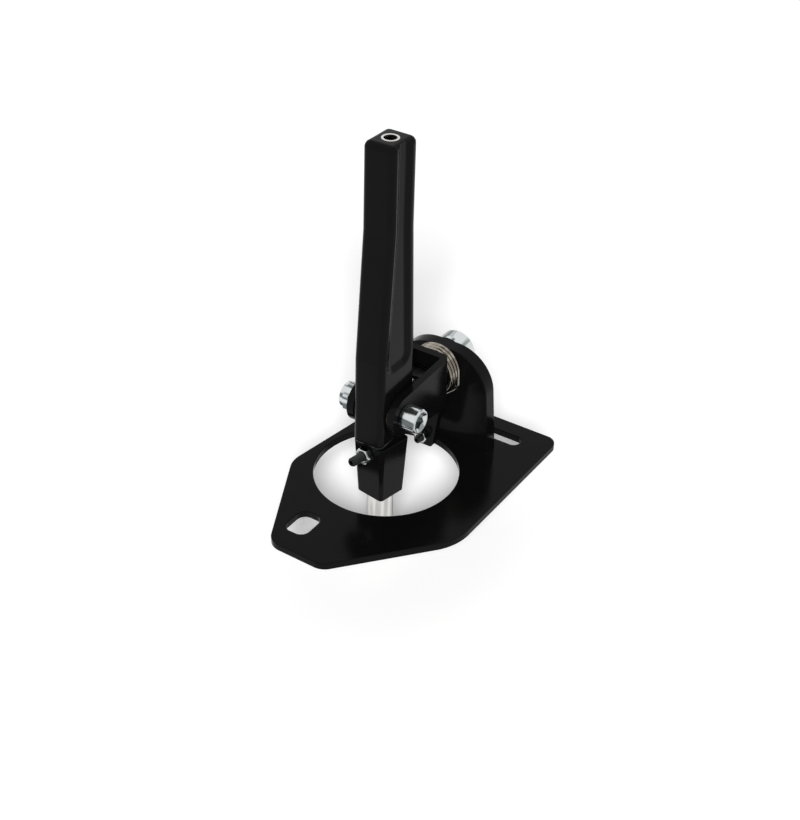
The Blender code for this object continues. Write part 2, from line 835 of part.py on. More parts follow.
def lever():
    outline = [
        (-lever_hub_front, -lever_foot),
        (lever_hub_back, -lever_foot),
        (lever_hub_back, lever_hub_height),
        (lever_neck_back, lever_neck_height),
        (lever_neck_back, lever_top),
        (-lever_neck_front, lever_top),
        (-lever_neck_front, lever_neck_height),
        (-lever_hub_front, lever_hub_height),
    ]
    body = flat_piece("lever", [outline], lever_width, parts, lever_axis, turn=facing_x)
    soften(body, lever_edge_radius, 3)
    for name, side in (("lever_recess_left", -1), ("lever_recess_right", 1)):
        combine(body, lever_recess(name, side))
    past_side = lever_width / 2 + gap
    insert_low = lever_top - insert_length - gap
    spigot_top = -socket_top + spigot_height + gap
    bore(body, "lever_bolt_hole", lever_bush_outer() + gap, -past_side, past_side, lever_axis, turn=along_x)
    bore(body, "lever_insert_hole", insert_radius + gap, insert_low, lever_top + gap,
         lever_axis, insert_place())
    bore(body, "lever_spigot_hole", spigot_radius + gap, -lever_foot - gap, spigot_top, lever_axis)
    finish(body, powder_coat("lever"))


def lever_recess(name, side):
    # Shallow panel between the lever's front and back flanges, open at the top
    past_top = lever_top + recess_depth
    neck_front = recess_front_flange - lever_neck_front
    hub_front = recess_front_flange - lever_hub_front
    neck_back = lever_neck_back - recess_back_flange
    hub_back = lever_hub_back - recess_back_flange
    outline = rounded(
        [
            (hub_front, recess_foot, recess_corner_radius),
            (hub_back, recess_foot, recess_corner_radius),
            (hub_back, lever_hub_height, 0),
            (neck_back, lever_neck_height, 0),
            (neck_back, past_top, 0),
            (neck_front, past_top, 0),
            (neck_front, lever_neck_height, 0),
            (hub_front, lever_hub_height, 0),
        ]
    )
    place = (side * lever_width / 2, 0, 0)
    return flat_piece(name, [outline], 2 * recess_depth, cutters, lever_axis, place, facing_x)


def insert_place():
    return (0, (lever_neck_back - lever_neck_front) / 2, 0)


def lever_bush_outer():
    return bolt_radius + gap + sleeve_wall + gap + lever_bush_wall


def lever_fittings():
    seat = lever_width / 2 + gap
    flange = half_inner - gap - seat
    for name, side, turn in (("lever_bush_left", -1, along_minus_x), ("lever_bush_right", 1, along_x)):
        flanged_bush(name, lever_bush_outer(), lever_bush_wall, seat - gap, lever_bush_flange_radius, flange,
                     lever_axis, (side * seat, 0, 0), turn)
    insert = ring("knob_insert", insert_radius, insert_bore_radius, lever_top - insert_length, lever_top,
                  lever_axis, insert_place())
    finish(insert, bright_steel("knob_insert"))


def socket_half_width(drop):
    share = (drop - socket_top) / (socket_foot - socket_top)
    return (socket_top_width + (socket_foot_width - socket_top_width) * share) / 2


def lever_socket():
    # Square taper with its upright edges rounded; a cone's radius is to its corner
    length = socket_foot - socket_top
    foot_corner = socket_foot_width / math.sqrt(2)
    top_corner = socket_top_width / math.sqrt(2)
    shape = bmesh.new()
    bmesh.ops.create_cone(
        shape, cap_ends=True, segments=4, radius1=foot_corner, radius2=top_corner, depth=length
    )
    upright = [edge for edge in shape.edges if abs(edge.verts[0].co.z - edge.verts[1].co.z) > length / 2]
    bmesh.ops.bevel(shape, geom=upright, offset=socket_edge_radius, segments=4, profile=0.5, affect="EDGES")
    bmesh.ops.rotate(shape, verts=shape.verts, matrix=Matrix.Rotation(math.radians(45), 3, "Z"))
    bmesh.ops.translate(shape, verts=shape.verts, vec=(0, 0, -socket_top - length / 2))
    mesh = bpy.data.meshes.new("lever_socket")
    shape.to_mesh(mesh)
    shape.free()
    socket = add_object("lever_socket", mesh, parts, rod_axis)
    spigot_top = -socket_top + spigot_height
    spigot_foot = -socket_top - spigot_height
    profile = [(0, spigot_top), (spigot_radius, spigot_top), (spigot_radius, spigot_foot), (0, spigot_foot)]
    spigot = turned_piece("lever_socket_spigot", profile, cutters, rod_axis, count=small_sides)
    combine(socket, spigot, "UNION")
    bore(socket, "socket_rod_hole", rod_top_radius + gap, -socket_foot - gap, spigot_top + gap, rod_axis)
    screw_height = (0, 0, -clamp_screw_drop)
    bore(socket, "socket_clamp_hole", clamp_screw_radius + gap, 0, socket_top_width, rod_axis,
         screw_height, along_minus_y)
    finish(socket, powder_coat("lever_socket"))


def clamp_screw():
    tip = (0, -rod_top_radius - gap, -clamp_screw_drop)
    set_screw("clamp_screw", clamp_screw_radius, clamp_screw_length, clamp_screw_hex,
              rod_axis, tip, along_minus_y)
    nut_corner = clamp_nut_flats / math.sqrt(3)
    face = socket_half_width(clamp_screw_drop - nut_corner) + gap
    hex_nut("clamp_screw_nut", clamp_nut_flats, clamp_nut_height, clamp_screw_radius + gap,
            rod_axis, (0, -face, -clamp_screw_drop), along_minus_y)


def adjuster_rod():
    foot = ball_foot - ball_pin_sink
    shank_foot = ball_top - gap
    profile = [
        (0, -rod_top),
        (rod_top_radius - rod_chamfer, -rod_top),
        (rod_top_radius, -rod_top - rod_chamfer),
        (rod_top_radius, -rod_shoulder),
        (rod_radius - rod_chamfer, -rod_shoulder),
        (rod_radius, -rod_shoulder - rod_chamfer),
        (rod_radius, -shank_foot),
        (ball_pin_radius, -shank_foot),
        (ball_pin_radius, -foot),
        (0, -foot),
    ]
    rod = turned_piece("adjuster_rod", profile, parts, rod_axis)
    finish(rod, bright_steel("adjuster_rod"))


def rod_ball():
    # Ball with flats above and below and a hole for the rod's pin
    first = math.acos(ball_top_flat_radius / ball_radius)
    last = -math.acos(ball_foot_flat_radius / ball_radius)
    hole = ball_pin_radius + gap
    profile = [(hole, -ball_top)]
    for step in range(ball_steps + 1):
        angle = first + (last - first) * step / ball_steps
        profile.append((ball_radius * math.cos(angle), ball_radius * math.sin(angle) - ball_drop))
    profile.append((hole, -ball_foot))
    ball = turned_piece("rod_ball", profile, parts, rod_axis, closed=True, count=small_sides)
    finish(ball, bright_steel("rod_ball"))


base_plate()
upright_bracket()
foot_screws()
pivot_pin()
pivot_stack()
centring_spring()
spring_peg("bracket_spring_peg", pivot_axis, -half_bracket, along_minus_y)
yoke()
yoke_bushes()
spring_peg("yoke_spring_peg", web_axis, yoke_depth, along_y)
stop_screw()
cross_bolt()
lever()
lever_fittings()
lever_socket()
clamp_screw()
adjuster_rod()
rod_ball()
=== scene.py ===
import math

import bmesh
import bpy
from mathutils import Matrix, Vector
from mathutils.geometry import delaunay_2d_cdt


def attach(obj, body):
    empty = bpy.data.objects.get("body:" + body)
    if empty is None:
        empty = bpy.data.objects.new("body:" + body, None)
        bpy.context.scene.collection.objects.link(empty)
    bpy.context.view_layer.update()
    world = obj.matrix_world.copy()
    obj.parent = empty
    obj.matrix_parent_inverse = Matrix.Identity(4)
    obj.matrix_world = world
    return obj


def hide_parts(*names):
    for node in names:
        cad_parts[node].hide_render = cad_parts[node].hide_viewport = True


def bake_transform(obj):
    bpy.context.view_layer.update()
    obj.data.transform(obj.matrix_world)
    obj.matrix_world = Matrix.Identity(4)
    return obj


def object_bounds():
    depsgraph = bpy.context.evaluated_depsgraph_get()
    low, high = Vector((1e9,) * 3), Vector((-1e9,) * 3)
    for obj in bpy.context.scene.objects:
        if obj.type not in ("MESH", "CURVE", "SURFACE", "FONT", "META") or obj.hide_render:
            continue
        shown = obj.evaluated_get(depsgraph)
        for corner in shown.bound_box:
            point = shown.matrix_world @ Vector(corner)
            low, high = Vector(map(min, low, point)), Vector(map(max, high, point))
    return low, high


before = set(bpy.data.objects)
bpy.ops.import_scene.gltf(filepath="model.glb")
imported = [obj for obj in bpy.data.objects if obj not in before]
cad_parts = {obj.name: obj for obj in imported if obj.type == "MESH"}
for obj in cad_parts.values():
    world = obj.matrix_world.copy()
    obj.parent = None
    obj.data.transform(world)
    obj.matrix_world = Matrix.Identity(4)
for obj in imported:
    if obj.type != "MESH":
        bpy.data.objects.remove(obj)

cadBox = [list(corner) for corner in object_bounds()]
print("frame loaded, CAD box", cadBox)

# Places shared by the pieces, as the CAD has them, in metres
places = {
    "gap": 0.0003,
    "pivotHeight": 0.061,
    "leverAxisY": -0.07125,
    "leverAxisHeight": 0.065,
    "leverLean": math.radians(-2.4),
    "socketTwist": math.radians(-9),
    "bracketFace": -0.005,  # bracket's front face
    "webBack": -0.01855,  # yoke's web, face towards the bracket
    "webFront": -0.02355,
}
gap = places["gap"]

pivotAxis = Matrix.Translation((0, 0, places["pivotHeight"]))
yokeAxis = Matrix.Translation((0, places["leverAxisY"], places["leverAxisHeight"]))
leverAxis = yokeAxis @ Matrix.Rotation(places["leverLean"], 4, "X")
rodAxis = leverAxis @ Matrix.Rotation(places["socketTwist"], 4, "Z")
alongX = Matrix.Rotation(math.radians(90), 4, "Y")
alongMinusX = Matrix.Rotation(math.radians(-90), 4, "Y")
alongY = Matrix.Rotation(math.radians(-90), 4, "X")
alongMinusY = Matrix.Rotation(math.radians(90), 4, "X")
alongMinusZ = Matrix.Rotation(math.radians(180), 4, "X")
facingY = Matrix.Rotation(math.radians(90), 4, "X")  # a flat (x, z) outline stood up
facingX = Matrix.Rotation(math.radians(90), 4, "Z") @ facingY  # a flat (y, z) outline stood up

# Camera at the photograph's angle
view = {
    "place": (0.4838, -0.7683, 0.6658),
    "direction": (-0.4558, 0.6757, -0.5793),
    "focalPixels": 1667,  # focal length as the photograph's pixels
    "longSidePixels": 820,
    "sensor": 36,
    "farEnd": 50,
}
cameraData = bpy.data.cameras.new("photoCamera")
cameraData.sensor_width = view["sensor"]
cameraData.lens = view["focalPixels"] * view["sensor"] / view["longSidePixels"]
cameraData.clip_end = view["farEnd"]
camera = bpy.data.objects.new("photoCamera", cameraData)
camera.location = view["place"]
camera.rotation_euler = Vector(view["direction"]).to_track_quat("-Z", "Y").to_euler()
bpy.context.scene.collection.objects.link(camera)
bpy.context.scene.camera = camera
print("camera placed")


# Shader helpers
def newMaterial(name):
    material = bpy.data.materials.new(name)
    material.use_nodes = True
    nodes = material.node_tree.nodes
    return material, nodes, material.node_tree.links, nodes["Principled BSDF"]


def objectPoint(nodes):
    return nodes.new("ShaderNodeTexCoord").outputs["Object"]


def noiseNode(nodes, links, point, scale, detail=3.0, roughness=0.5):
    noise = nodes.new("ShaderNodeTexNoise")
    noise.inputs["Scale"].default_value = scale
    noise.inputs["Detail"].default_value = detail
    noise.inputs["Roughness"].default_value = roughness
    links.new(point, noise.inputs["Vector"])
    return noise.outputs["Fac"]


def rangeNode(nodes, links, value, low, high, fromLow=0.3, fromHigh=0.7):
    spread = nodes.new("ShaderNodeMapRange")
    spread.inputs["From Min"].default_value = fromLow
    spread.inputs["From Max"].default_value = fromHigh
    spread.inputs["To Min"].default_value = low
    spread.inputs["To Max"].default_value = high
    links.new(value, spread.inputs["Value"])
    return spread.outputs["Result"]


def mixColours(nodes, links, share, first, second):
    mix = nodes.new("ShaderNodeMix")
    mix.data_type = "RGBA"
    mix.inputs["A"].default_value = (*first, 1)
    mix.inputs["B"].default_value = (*second, 1)
    links.new(share, mix.inputs["Factor"])
    return mix.outputs["Result"]


def mixValues(nodes, links, share, first, second):
    mix = nodes.new("ShaderNodeMix")
    mix.inputs["B"].default_value = second
    links.new(first, mix.inputs["A"])
    links.new(share, mix.inputs["Factor"])
    return mix.outputs["Result"]


def addBump(nodes, links, height, depth, strength, before=None):
    bump = nodes.new("ShaderNodeBump")
    bump.inputs["Distance"].default_value = depth
    bump.inputs["Strength"].default_value = strength
    links.new(height, bump.inputs["Height"])
    if before is not None:
        links.new(before, bump.inputs["Normal"])
    return bump.outputs["Normal"]


def centredPoint(nodes, links, matrix):
    # Object coordinates moved so that +Z is the piece's own turning axis
    mapping = nodes.new("ShaderNodeMapping")
    inverse = matrix.inverted()
    mapping.inputs["Location"].default_value = inverse.to_translation()
    mapping.inputs["Rotation"].default_value = inverse.to_euler()
    links.new(objectPoint(nodes), mapping.inputs["Vector"])
    return mapping.outputs["Vector"]


def stretchPoint(nodes, links, point, stretch):
    mapping = nodes.new("ShaderNodeMapping")
    mapping.inputs["Scale"].default_value = stretch
    links.new(point, mapping.inputs["Vector"])
    return mapping.outputs["Vector"]


def facingEnd(nodes, links):
    # 1 on faces square to the piece's own axis, 0 on faces along it
    mark = nodes.new("ShaderNodeAttribute")
    mark.attribute_name = "endFacing"
    return rangeNode(nodes, links, mark.outputs["Fac"], 0.0, 1.0, *metal["endRange"])


# Finishes
coat = {
    "dark": (0.0020, 0.0021, 0.0022),
    "light": (0.0038, 0.0038, 0.0037),
    "roughLow": 0.10,
    "roughHigh": 0.15,
    "specular": 0.055,
    "peelScale": 1100,  # orange peel of the sprayed powder
    "peelDepth": 0.00008,
    "peelStrength": 0.35,
    "grainStrength": 0.25,
    "grainScale": 5200,
    "cloudScale": 38,
}


def powderCoat(name):
    material, nodes, links, shader = newMaterial(name)
    point = objectPoint(nodes)
    cloud = noiseNode(nodes, links, point, coat["cloudScale"], detail=4.0)
    peel = noiseNode(nodes, links, point, coat["peelScale"], detail=2.0)
    grain = noiseNode(nodes, links, point, coat["grainScale"], detail=1.0)
    links.new(mixColours(nodes, links, cloud, coat["dark"], coat["light"]), shader.inputs["Base Color"])
    rough = rangeNode(nodes, links, cloud, coat["roughLow"], coat["roughHigh"])
    links.new(rough, shader.inputs["Roughness"])
    shader.inputs["Specular IOR Level"].default_value = coat["specular"]
    first = addBump(nodes, links, peel, coat["peelDepth"], coat["peelStrength"])
    normal = addBump(nodes, links, grain, coat["peelDepth"] / 4, coat["grainStrength"], first)
    links.new(normal, shader.inputs["Normal"])
    return material


metal = {
    "cloudScale": 160,
    "reflectionStreakScale": 220,
    "reflectionStreakStretch": (1.0, 1.0, 0.12),  # painted reflection bands run along the piece's own axis
    "lineStretch": (0.02, 0.02, 1.0),  # tool lines run round it
    "fineScale": 2600,
    "lineDepth": 0.00006,
    "fineDepth": 0.00002,
    "fineStrength": 0.15,
    "reflectionStreakRange": (0.42, 0.56),  # noise values between which the painted reflection turns from dark to light
    "endShare": 0.72,  # share of the light colour on end faces, which get no painted reflection bands
    "endRange": (0.6, 0.9),  # how squarely a face looks along the axis, from side to end
}

# Light colour, dark colour of the painted reflection bands, least and most roughness, tool lines per metre
# and their strength
finishes = {
    "zinc": ((0.66, 0.69, 0.69), (0.13, 0.15, 0.15), 0.10, 0.20, 3000, 0.25),
    "steel": ((0.72, 0.71, 0.69), (0.50, 0.49, 0.47), 0.09, 0.16, 4200, 0.35),
    "spring_steel": ((0.36, 0.33, 0.28), (0.16, 0.14, 0.12), 0.14, 0.22, 3600, 0.20),
    "bronze": ((0.07, 0.056, 0.042), (0.04, 0.032, 0.024), 0.22, 0.34, 3000, 0.30),
    "black_oxide": ((0.045, 0.045, 0.047), (0.020, 0.020, 0.021), 0.28, 0.42, 2600, 0.25),
}


def metalFinish(name, light, dark, roughLow, roughHigh, lineScale, lineStrength, matrix):
    # Fine tool lines round the piece's own axis, with painted reflection bands along it: dark and light
    # colour standing in for the room mirrored in the metal
    material, nodes, links, shader = newMaterial(name)
    point = centredPoint(nodes, links, matrix)
    cloud = noiseNode(nodes, links, point, metal["cloudScale"], detail=4.0)
    reflectionPoint = stretchPoint(nodes, links, point, metal["reflectionStreakStretch"])
    reflectionNoise = noiseNode(nodes, links, reflectionPoint, metal["reflectionStreakScale"], detail=1.0)
    # Painted reflection: dark and light bands of base colour along the axis
    paintedReflection = rangeNode(nodes, links, reflectionNoise, 0.0, 1.0, *metal["reflectionStreakRange"])
    # End faces take a plain share of the light colour in place of the painted reflection
    share = mixValues(nodes, links, facingEnd(nodes, links), paintedReflection, metal["endShare"])
    links.new(mixColours(nodes, links, share, dark, light), shader.inputs["Base Color"])
    links.new(rangeNode(nodes, links, cloud, roughLow, roughHigh), shader.inputs["Roughness"])
    shader.inputs["Metallic"].default_value = 1.0
    linePoint = stretchPoint(nodes, links, point, metal["lineStretch"])
    lines = noiseNode(nodes, links, linePoint, lineScale, roughness=0.7)
    fine = noiseNode(nodes, links, point, metal["fineScale"], detail=2.0)
    first = addBump(nodes, links, lines, metal["lineDepth"], lineStrength)
    normal = addBump(nodes, links, fine, metal["fineDepth"], metal["fineStrength"], first)
    links.new(normal, shader.inputs["Normal"])
    return material


def finishMaterial(name, slot, matrix):
    if slot == "powder_coat":
        return powderCoat(name + "Coat")
    if slot == "nylon":
        return nylonMaterial(name + "Nylon")
    return metalFinish(name + "Finish", *finishes[slot], matrix)


nylon = {
    "light": (0.80, 0.80, 0.76),
    "dark": (0.66, 0.66, 0.62),
    "roughness": 0.42,
    "waxScale": 900,
    "waxDepth": 0.00005,
    "waxStrength": 0.2,
}


def nylonMaterial(name):
    material, nodes, links, shader = newMaterial(name)
    wax = noiseNode(nodes, links, objectPoint(nodes), nylon["waxScale"])
    links.new(mixColours(nodes, links, wax, nylon["dark"], nylon["light"]), shader.inputs["Base Color"])
    shader.inputs["Roughness"].default_value = nylon["roughness"]
    links.new(addBump(nodes, links, wax, nylon["waxDepth"], nylon["waxStrength"]), shader.inputs["Normal"])
    return material


# Mesh helpers; pieces are made round their own axis and then set in place
fineness = {
    "round": 96,
    "hole": 64,
    "corner": 12,
    "edge": 4,
    "arc": 48,
    "smoothAngle": math.radians(38),
    "weld": 0.000001,  # points this near become one
    "softShare": 0.45,  # most of a side that one rounded corner takes
    "mitreLimit": 0.5,  # keeps a sharp corner from reaching too far
    "hexMouth": 0.495,  # inner radius of a hex socket's cone, as a share of its flats
    "threadShare": 0.55,  # thread's depth as a share of its pitch
    "ridgeShare": 0.49,  # ridge's half width as a share of the pitch
    "threadSteps": 40,  # in one turn
    "threadSides": 4,
    "wireSides": 20,
}


def showObject(name, mesh):
    thing = bpy.data.objects.new(name, mesh)
    bpy.context.scene.collection.objects.link(thing)
    return thing


def bake(thing):
    evaluated = thing.evaluated_get(bpy.context.evaluated_depsgraph_get())
    mesh = bpy.data.meshes.new_from_object(evaluated)
    mesh.name = thing.name
    thing.modifiers.clear()
    thing.data = mesh


def circlePoints(radius, centre=(0, 0), count=fineness["hole"]):
    points = []
    for i in range(count):
        angle = 2 * math.pi * i / count
        points.append((centre[0] + radius * math.cos(angle), centre[1] + radius * math.sin(angle)))
    return points


def hexPoints(flats):
    return circlePoints(flats / math.sqrt(3), count=6)


def roundedLoop(corners, steps=fineness["corner"]):
    # Corners are (x, y, radius); a radius of 0 stays sharp
    points = []
    for i, (x, y, radius) in enumerate(corners):
        if radius == 0:
            points.append((x, y))
            continue
        corner = Vector((x, y))
        before = (Vector(corners[i - 1][:2]) - corner).normalized()
        after = (Vector(corners[(i + 1) % len(corners)][:2]) - corner).normalized()
        half = before.angle(after) / 2
        centre = corner + (before + after).normalized() * radius / math.sin(half)
        first = corner + before * radius / math.tan(half) - centre
        last = corner + after * radius / math.tan(half) - centre
        start = math.atan2(first.y, first.x)
        clockwise = first.angle_signed(last)
        for step in range(steps + 1):
            angle = start - clockwise * step / steps
            points.append((centre.x + radius * math.cos(angle), centre.y + radius * math.sin(angle)))
    return points


def slotPoints(centre, sizeX, sizeY):
    radius = min(sizeX, sizeY) / 2
    straightX = sizeX / 2 - radius
    straightY = sizeY / 2 - radius
    steps = 2 * fineness["corner"]
    points = []
    for side in (1, -1):
        for step in range(steps + 1):
            angle = math.pi * step / steps - (math.pi / 2 if straightX > 0 else 0)
            x = straightX + radius * math.cos(angle)
            y = straightY + radius * math.sin(angle)
            points.append((centre[0] + side * x, centre[1] + side * y))
    return points


def softProfile(profile, radius, closed):
    # Each corner of a turned profile, rounded with at most that radius
    steps = fineness["edge"]
    points = []
    for i, point in enumerate(profile):
        if not closed and i in (0, len(profile) - 1):
            points.append(point)
            continue
        corner = Vector(point)
        before = Vector(profile[i - 1]) - corner
        after = Vector(profile[(i + 1) % len(profile)]) - corner
        first = corner + before.normalized() * min(radius, fineness["softShare"] * before.length)
        last = corner + after.normalized() * min(radius, fineness["softShare"] * after.length)
        for step in range(steps + 1):
            t = step / steps
            place = first * (1 - t) ** 2 + corner * 2 * t * (1 - t) + last * t**2
            points.append((place.x, place.y))
    return points


def turnedObject(name, profile, closed=False, soft=0.0002, count=fineness["round"]):
    # Profile points are (radius, height)
    points = softProfile(profile, soft, closed) if soft else profile
    shape = bmesh.new()
    rings = []
    for radius, height in points:
        if radius == 0:
            rings.append([shape.verts.new((0, 0, height))] * count)
        else:
            spots = circlePoints(radius, count=count)
            rings.append([shape.verts.new((x, y, height)) for x, y in spots])
    pairs = list(zip(rings, rings[1:]))
    if closed:
        pairs.append((rings[-1], rings[0]))
    for upper, lower in pairs:
        for i in range(count):
            j = (i + 1) % count
            corners = []
            for vertex in (upper[i], lower[i], lower[j], upper[j]):
                if vertex not in corners:
                    corners.append(vertex)
            if len(corners) > 2:
                shape.faces.new(corners)
    return closedObject(name, shape)


def closedObject(name, shape):
    bmesh.ops.remove_doubles(shape, verts=shape.verts, dist=fineness["weld"])
    bmesh.ops.recalc_face_normals(shape, faces=shape.faces)
    mesh = bpy.data.meshes.new(name)
    shape.to_mesh(mesh)
    shape.free()
    return showObject(name, mesh)


def signedArea(loop):
    return sum(a[0] * b[1] - b[0] * a[1] for a, b in zip(loop, loop[1:] + loop[:1])) / 2


def insetLoop(loop, distance):
    # Moves each point to its left, square to the sides beside it
    points = []
    for i, point in enumerate(loop):
        before = (Vector(point) - Vector(loop[i - 1])).normalized()
        after = (Vector(loop[(i + 1) % len(loop)]) - Vector(point)).normalized()
        across = (before + after).normalized()
        reach = distance / max(fineness["mitreLimit"], across.dot(after))
        points.append((point[0] - across.y * reach, point[1] + across.x * reach))
    return points


def insideLoop(x, y, loop):
    inside = False
    for (x1, y1), (x2, y2) in zip(loop, loop[1:] + loop[:1]):
        if (y1 > y) != (y2 > y) and x < (x2 - x1) * (y - y1) / (y2 - y1) + x1:
            inside = not inside
    return inside


def capFaces(shape, loops, height):
    points = []
    edges = []
    for loop in loops:
        start = len(points)
        points += [Vector(point) for point in loop]
        edges += [(start + i, start + (i + 1) % len(loop)) for i in range(len(loop))]
    spots, _, faces, *_ = delaunay_2d_cdt(points, edges, [], 0, 0.00000001)
    vertices = [shape.verts.new((spot.x, spot.y, height)) for spot in spots]
    for face in faces:
        x = sum(spots[i].x for i in face) / len(face)
        y = sum(spots[i].y for i in face) / len(face)
        if sum(insideLoop(x, y, loop) for loop in loops) == 1:
            shape.faces.new([vertices[i] for i in face])
    loose = [vertex for vertex in vertices if not vertex.link_faces]
    bmesh.ops.delete(shape, geom=loose, context="VERTS")


def loftObject(name, loops, rims):
    # Solid between copies of the loops, each moved inwards and lifted as its rim says, from the top down
    turned = []
    for i, loop in enumerate(loops):
        if (signedArea(loop) > 0) != (i == 0):
            loop = loop[::-1]
        turned.append(loop)
    shape = bmesh.new()
    for loop in turned:
        rings = []
        for inset, height in rims:
            rings.append([shape.verts.new((x, y, height)) for x, y in insetLoop(loop, inset)])
        for upper, lower in zip(rings, rings[1:]):
            for i in range(len(loop)):
                j = (i + 1) % len(loop)
                shape.faces.new((upper[i], lower[i], lower[j], upper[j]))
    for inset, height in (rims[0], rims[-1]):
        capFaces(shape, [insetLoop(loop, inset) for loop in turned], height)
    return closedObject(name, shape)


def slabObject(name, loops, low, high, edge=0.0):
    # Flat outline, its first loop outside and the rest holes, with rounded edges above and below
    steps = fineness["edge"] if edge else 0
    rims = []
    for step in range(steps + 1):
        angle = math.pi / 2 * step / max(steps, 1)
        rims.append((edge * (1 - math.sin(angle)), high - edge * (1 - math.cos(angle))))
    rims += [(inset, low + high - height) for inset, height in reversed(rims)]
    return loftObject(name, loops, rims)


def combine(thing, tool, operation="DIFFERENCE"):
    modifier = thing.modifiers.new("cut", "BOOLEAN")
    modifier.operation = operation
    modifier.object = tool
    modifier.solver = "EXACT"
    bake(thing)
    bpy.data.objects.remove(tool, do_unlink=True)


def moved(thing, matrix):
    thing.data.transform(matrix)
    return thing


def bore(thing, radius, low, high, matrix, count=fineness["hole"]):
    profile = [(0, high), (radius, high), (radius, low), (0, low)]
    combine(thing, moved(turnedObject("bore", profile, soft=0, count=count), matrix))


def softEdges(thing, width, angle=50, segments=2):
    bevel = thing.modifiers.new("softEdges", "BEVEL")
    bevel.width = width
    bevel.segments = segments
    bevel.limit_method = "ANGLE"
    bevel.angle_limit = math.radians(angle)
    bake(thing)


def hexHole(thing, flats, top, depth, mouthShare=1.0):
    # Hexagonal socket in the top end, with a cone at its mouth that is as wide as its corners or wider
    combine(thing, slabObject("hexCutter", [hexPoints(flats)], top - depth, top + depth))
    mouth = mouthShare * flats / math.sqrt(3)
    inner = fineness["hexMouth"] * flats
    coneFoot = top + inner - mouth
    profile = [(0, top + mouth), (2 * mouth, top + mouth), (inner, coneFoot), (0, coneFoot)]
    combine(thing, turnedObject("mouthCutter", profile, soft=0))


def markEnds(mesh, matrix):
    # How squarely each corner looks along the piece's own axis, for metalFinish
    axis = matrix.to_3x3() @ Vector((0, 0, 1))
    marks = mesh.attributes.new("endFacing", "FLOAT", "CORNER")
    marks.data.foreach_set("value", [abs(normal.vector.dot(axis)) for normal in mesh.corner_normals])


def finishPiece(thing, body, slot, nodes, matrix):
    # Sets a piece in its place, smooths it, gives it its finish and lets it ride on its body
    thing.data.transform(matrix)
    thing.data.materials.clear()
    thing.data.materials.append(finishMaterial(thing.name, slot, matrix))
    for polygon in thing.data.polygons:
        polygon.material_index = 0
    thing.data.shade_smooth()
    thing.data.set_sharp_from_angle(angle=fineness["smoothAngle"])
    weighted = thing.modifiers.new("evenShading", "WEIGHTED_NORMAL")
    weighted.keep_sharp = True
    bake(thing)
    if slot in finishes:
        markEnds(thing.data, matrix)
    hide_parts(*nodes)
    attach(thing, body)
    return thing


# Geometry Nodes for what repeats or follows a path
def newTree(name, inputs):
    tree = bpy.data.node_groups.new(name, "GeometryNodeTree")
    tree.interface.new_socket(name="Geometry", in_out="OUTPUT", socket_type="NodeSocketGeometry")
    tree.interface.new_socket(name="Geometry", in_out="INPUT", socket_type="NodeSocketGeometry")
    for label, kind in inputs:
        tree.interface.new_socket(name=label, in_out="INPUT", socket_type=kind)
    tree.interface.new_socket(name="Finish", in_out="INPUT", socket_type="NodeSocketMaterial")
    return tree, tree.nodes.new("NodeGroupInput"), tree.nodes.new("NodeGroupOutput")


def mathNode(tree, operation, first, second):
    node = tree.nodes.new("ShaderNodeMath")
    node.operation = operation
    for socket, value in zip(node.inputs, (first, second)):
        if isinstance(value, (int, float)):
            socket.default_value = value
        else:
            tree.links.new(value, socket)
    return node.outputs[0]


def endTree(tree, start, end, made):
    # Ends in real geometry with one finish
    realize = tree.nodes.new("GeometryNodeRealizeInstances")
    tree.links.new(made, realize.inputs[0])
    finish = tree.nodes.new("GeometryNodeSetMaterial")
    tree.links.new(realize.outputs[0], finish.inputs["Geometry"])
    tree.links.new(start.outputs["Finish"], finish.inputs["Material"])
    tree.links.new(finish.outputs[0], end.inputs[0])


def makeThreadTree():
    # A helical ridge from the height Start upwards, its crest at Radius
    floats = [(label, "NodeSocketFloat") for label in ("Radius", "Pitch", "Start", "Length")]
    tree, start, end = newTree("screwThread", floats)
    helix = tree.nodes.new("GeometryNodeCurveSpiral")
    helix.inputs["Resolution"].default_value = fineness["threadSteps"]
    half = mathNode(tree, "MULTIPLY", start.outputs["Pitch"], fineness["ridgeShare"])
    middle = mathNode(tree, "SUBTRACT", start.outputs["Radius"], half)
    turns = mathNode(tree, "DIVIDE", start.outputs["Length"], start.outputs["Pitch"])
    tree.links.new(turns, helix.inputs["Rotations"])
    tree.links.new(middle, helix.inputs["Start Radius"])
    tree.links.new(middle, helix.inputs["End Radius"])
    tree.links.new(start.outputs["Length"], helix.inputs["Height"])
    normals = tree.nodes.new("GeometryNodeSetCurveNormal")
    normals.mode = "Z_UP"
    tree.links.new(helix.outputs[0], normals.inputs["Curve"])
    ridge = tree.nodes.new("GeometryNodeCurvePrimitiveCircle")
    ridge.inputs["Resolution"].default_value = fineness["threadSides"]
    tree.links.new(half, ridge.inputs["Radius"])
    sweep = tree.nodes.new("GeometryNodeCurveToMesh")
    sweep.inputs["Fill Caps"].default_value = True
    tree.links.new(normals.outputs[0], sweep.inputs["Curve"])
    tree.links.new(ridge.outputs[0], sweep.inputs["Profile Curve"])
    lift = tree.nodes.new("ShaderNodeCombineXYZ")
    tree.links.new(start.outputs["Start"], lift.inputs["Z"])
    place = tree.nodes.new("GeometryNodeTransform")
    tree.links.new(sweep.outputs[0], place.inputs["Geometry"])
    tree.links.new(lift.outputs[0], place.inputs["Translation"])
    join = tree.nodes.new("GeometryNodeJoinGeometry")
    tree.links.new(place.outputs[0], join.inputs[0])
    tree.links.new(start.outputs["Geometry"], join.inputs[0])
    endTree(tree, start, end, join.outputs[0])
    return tree


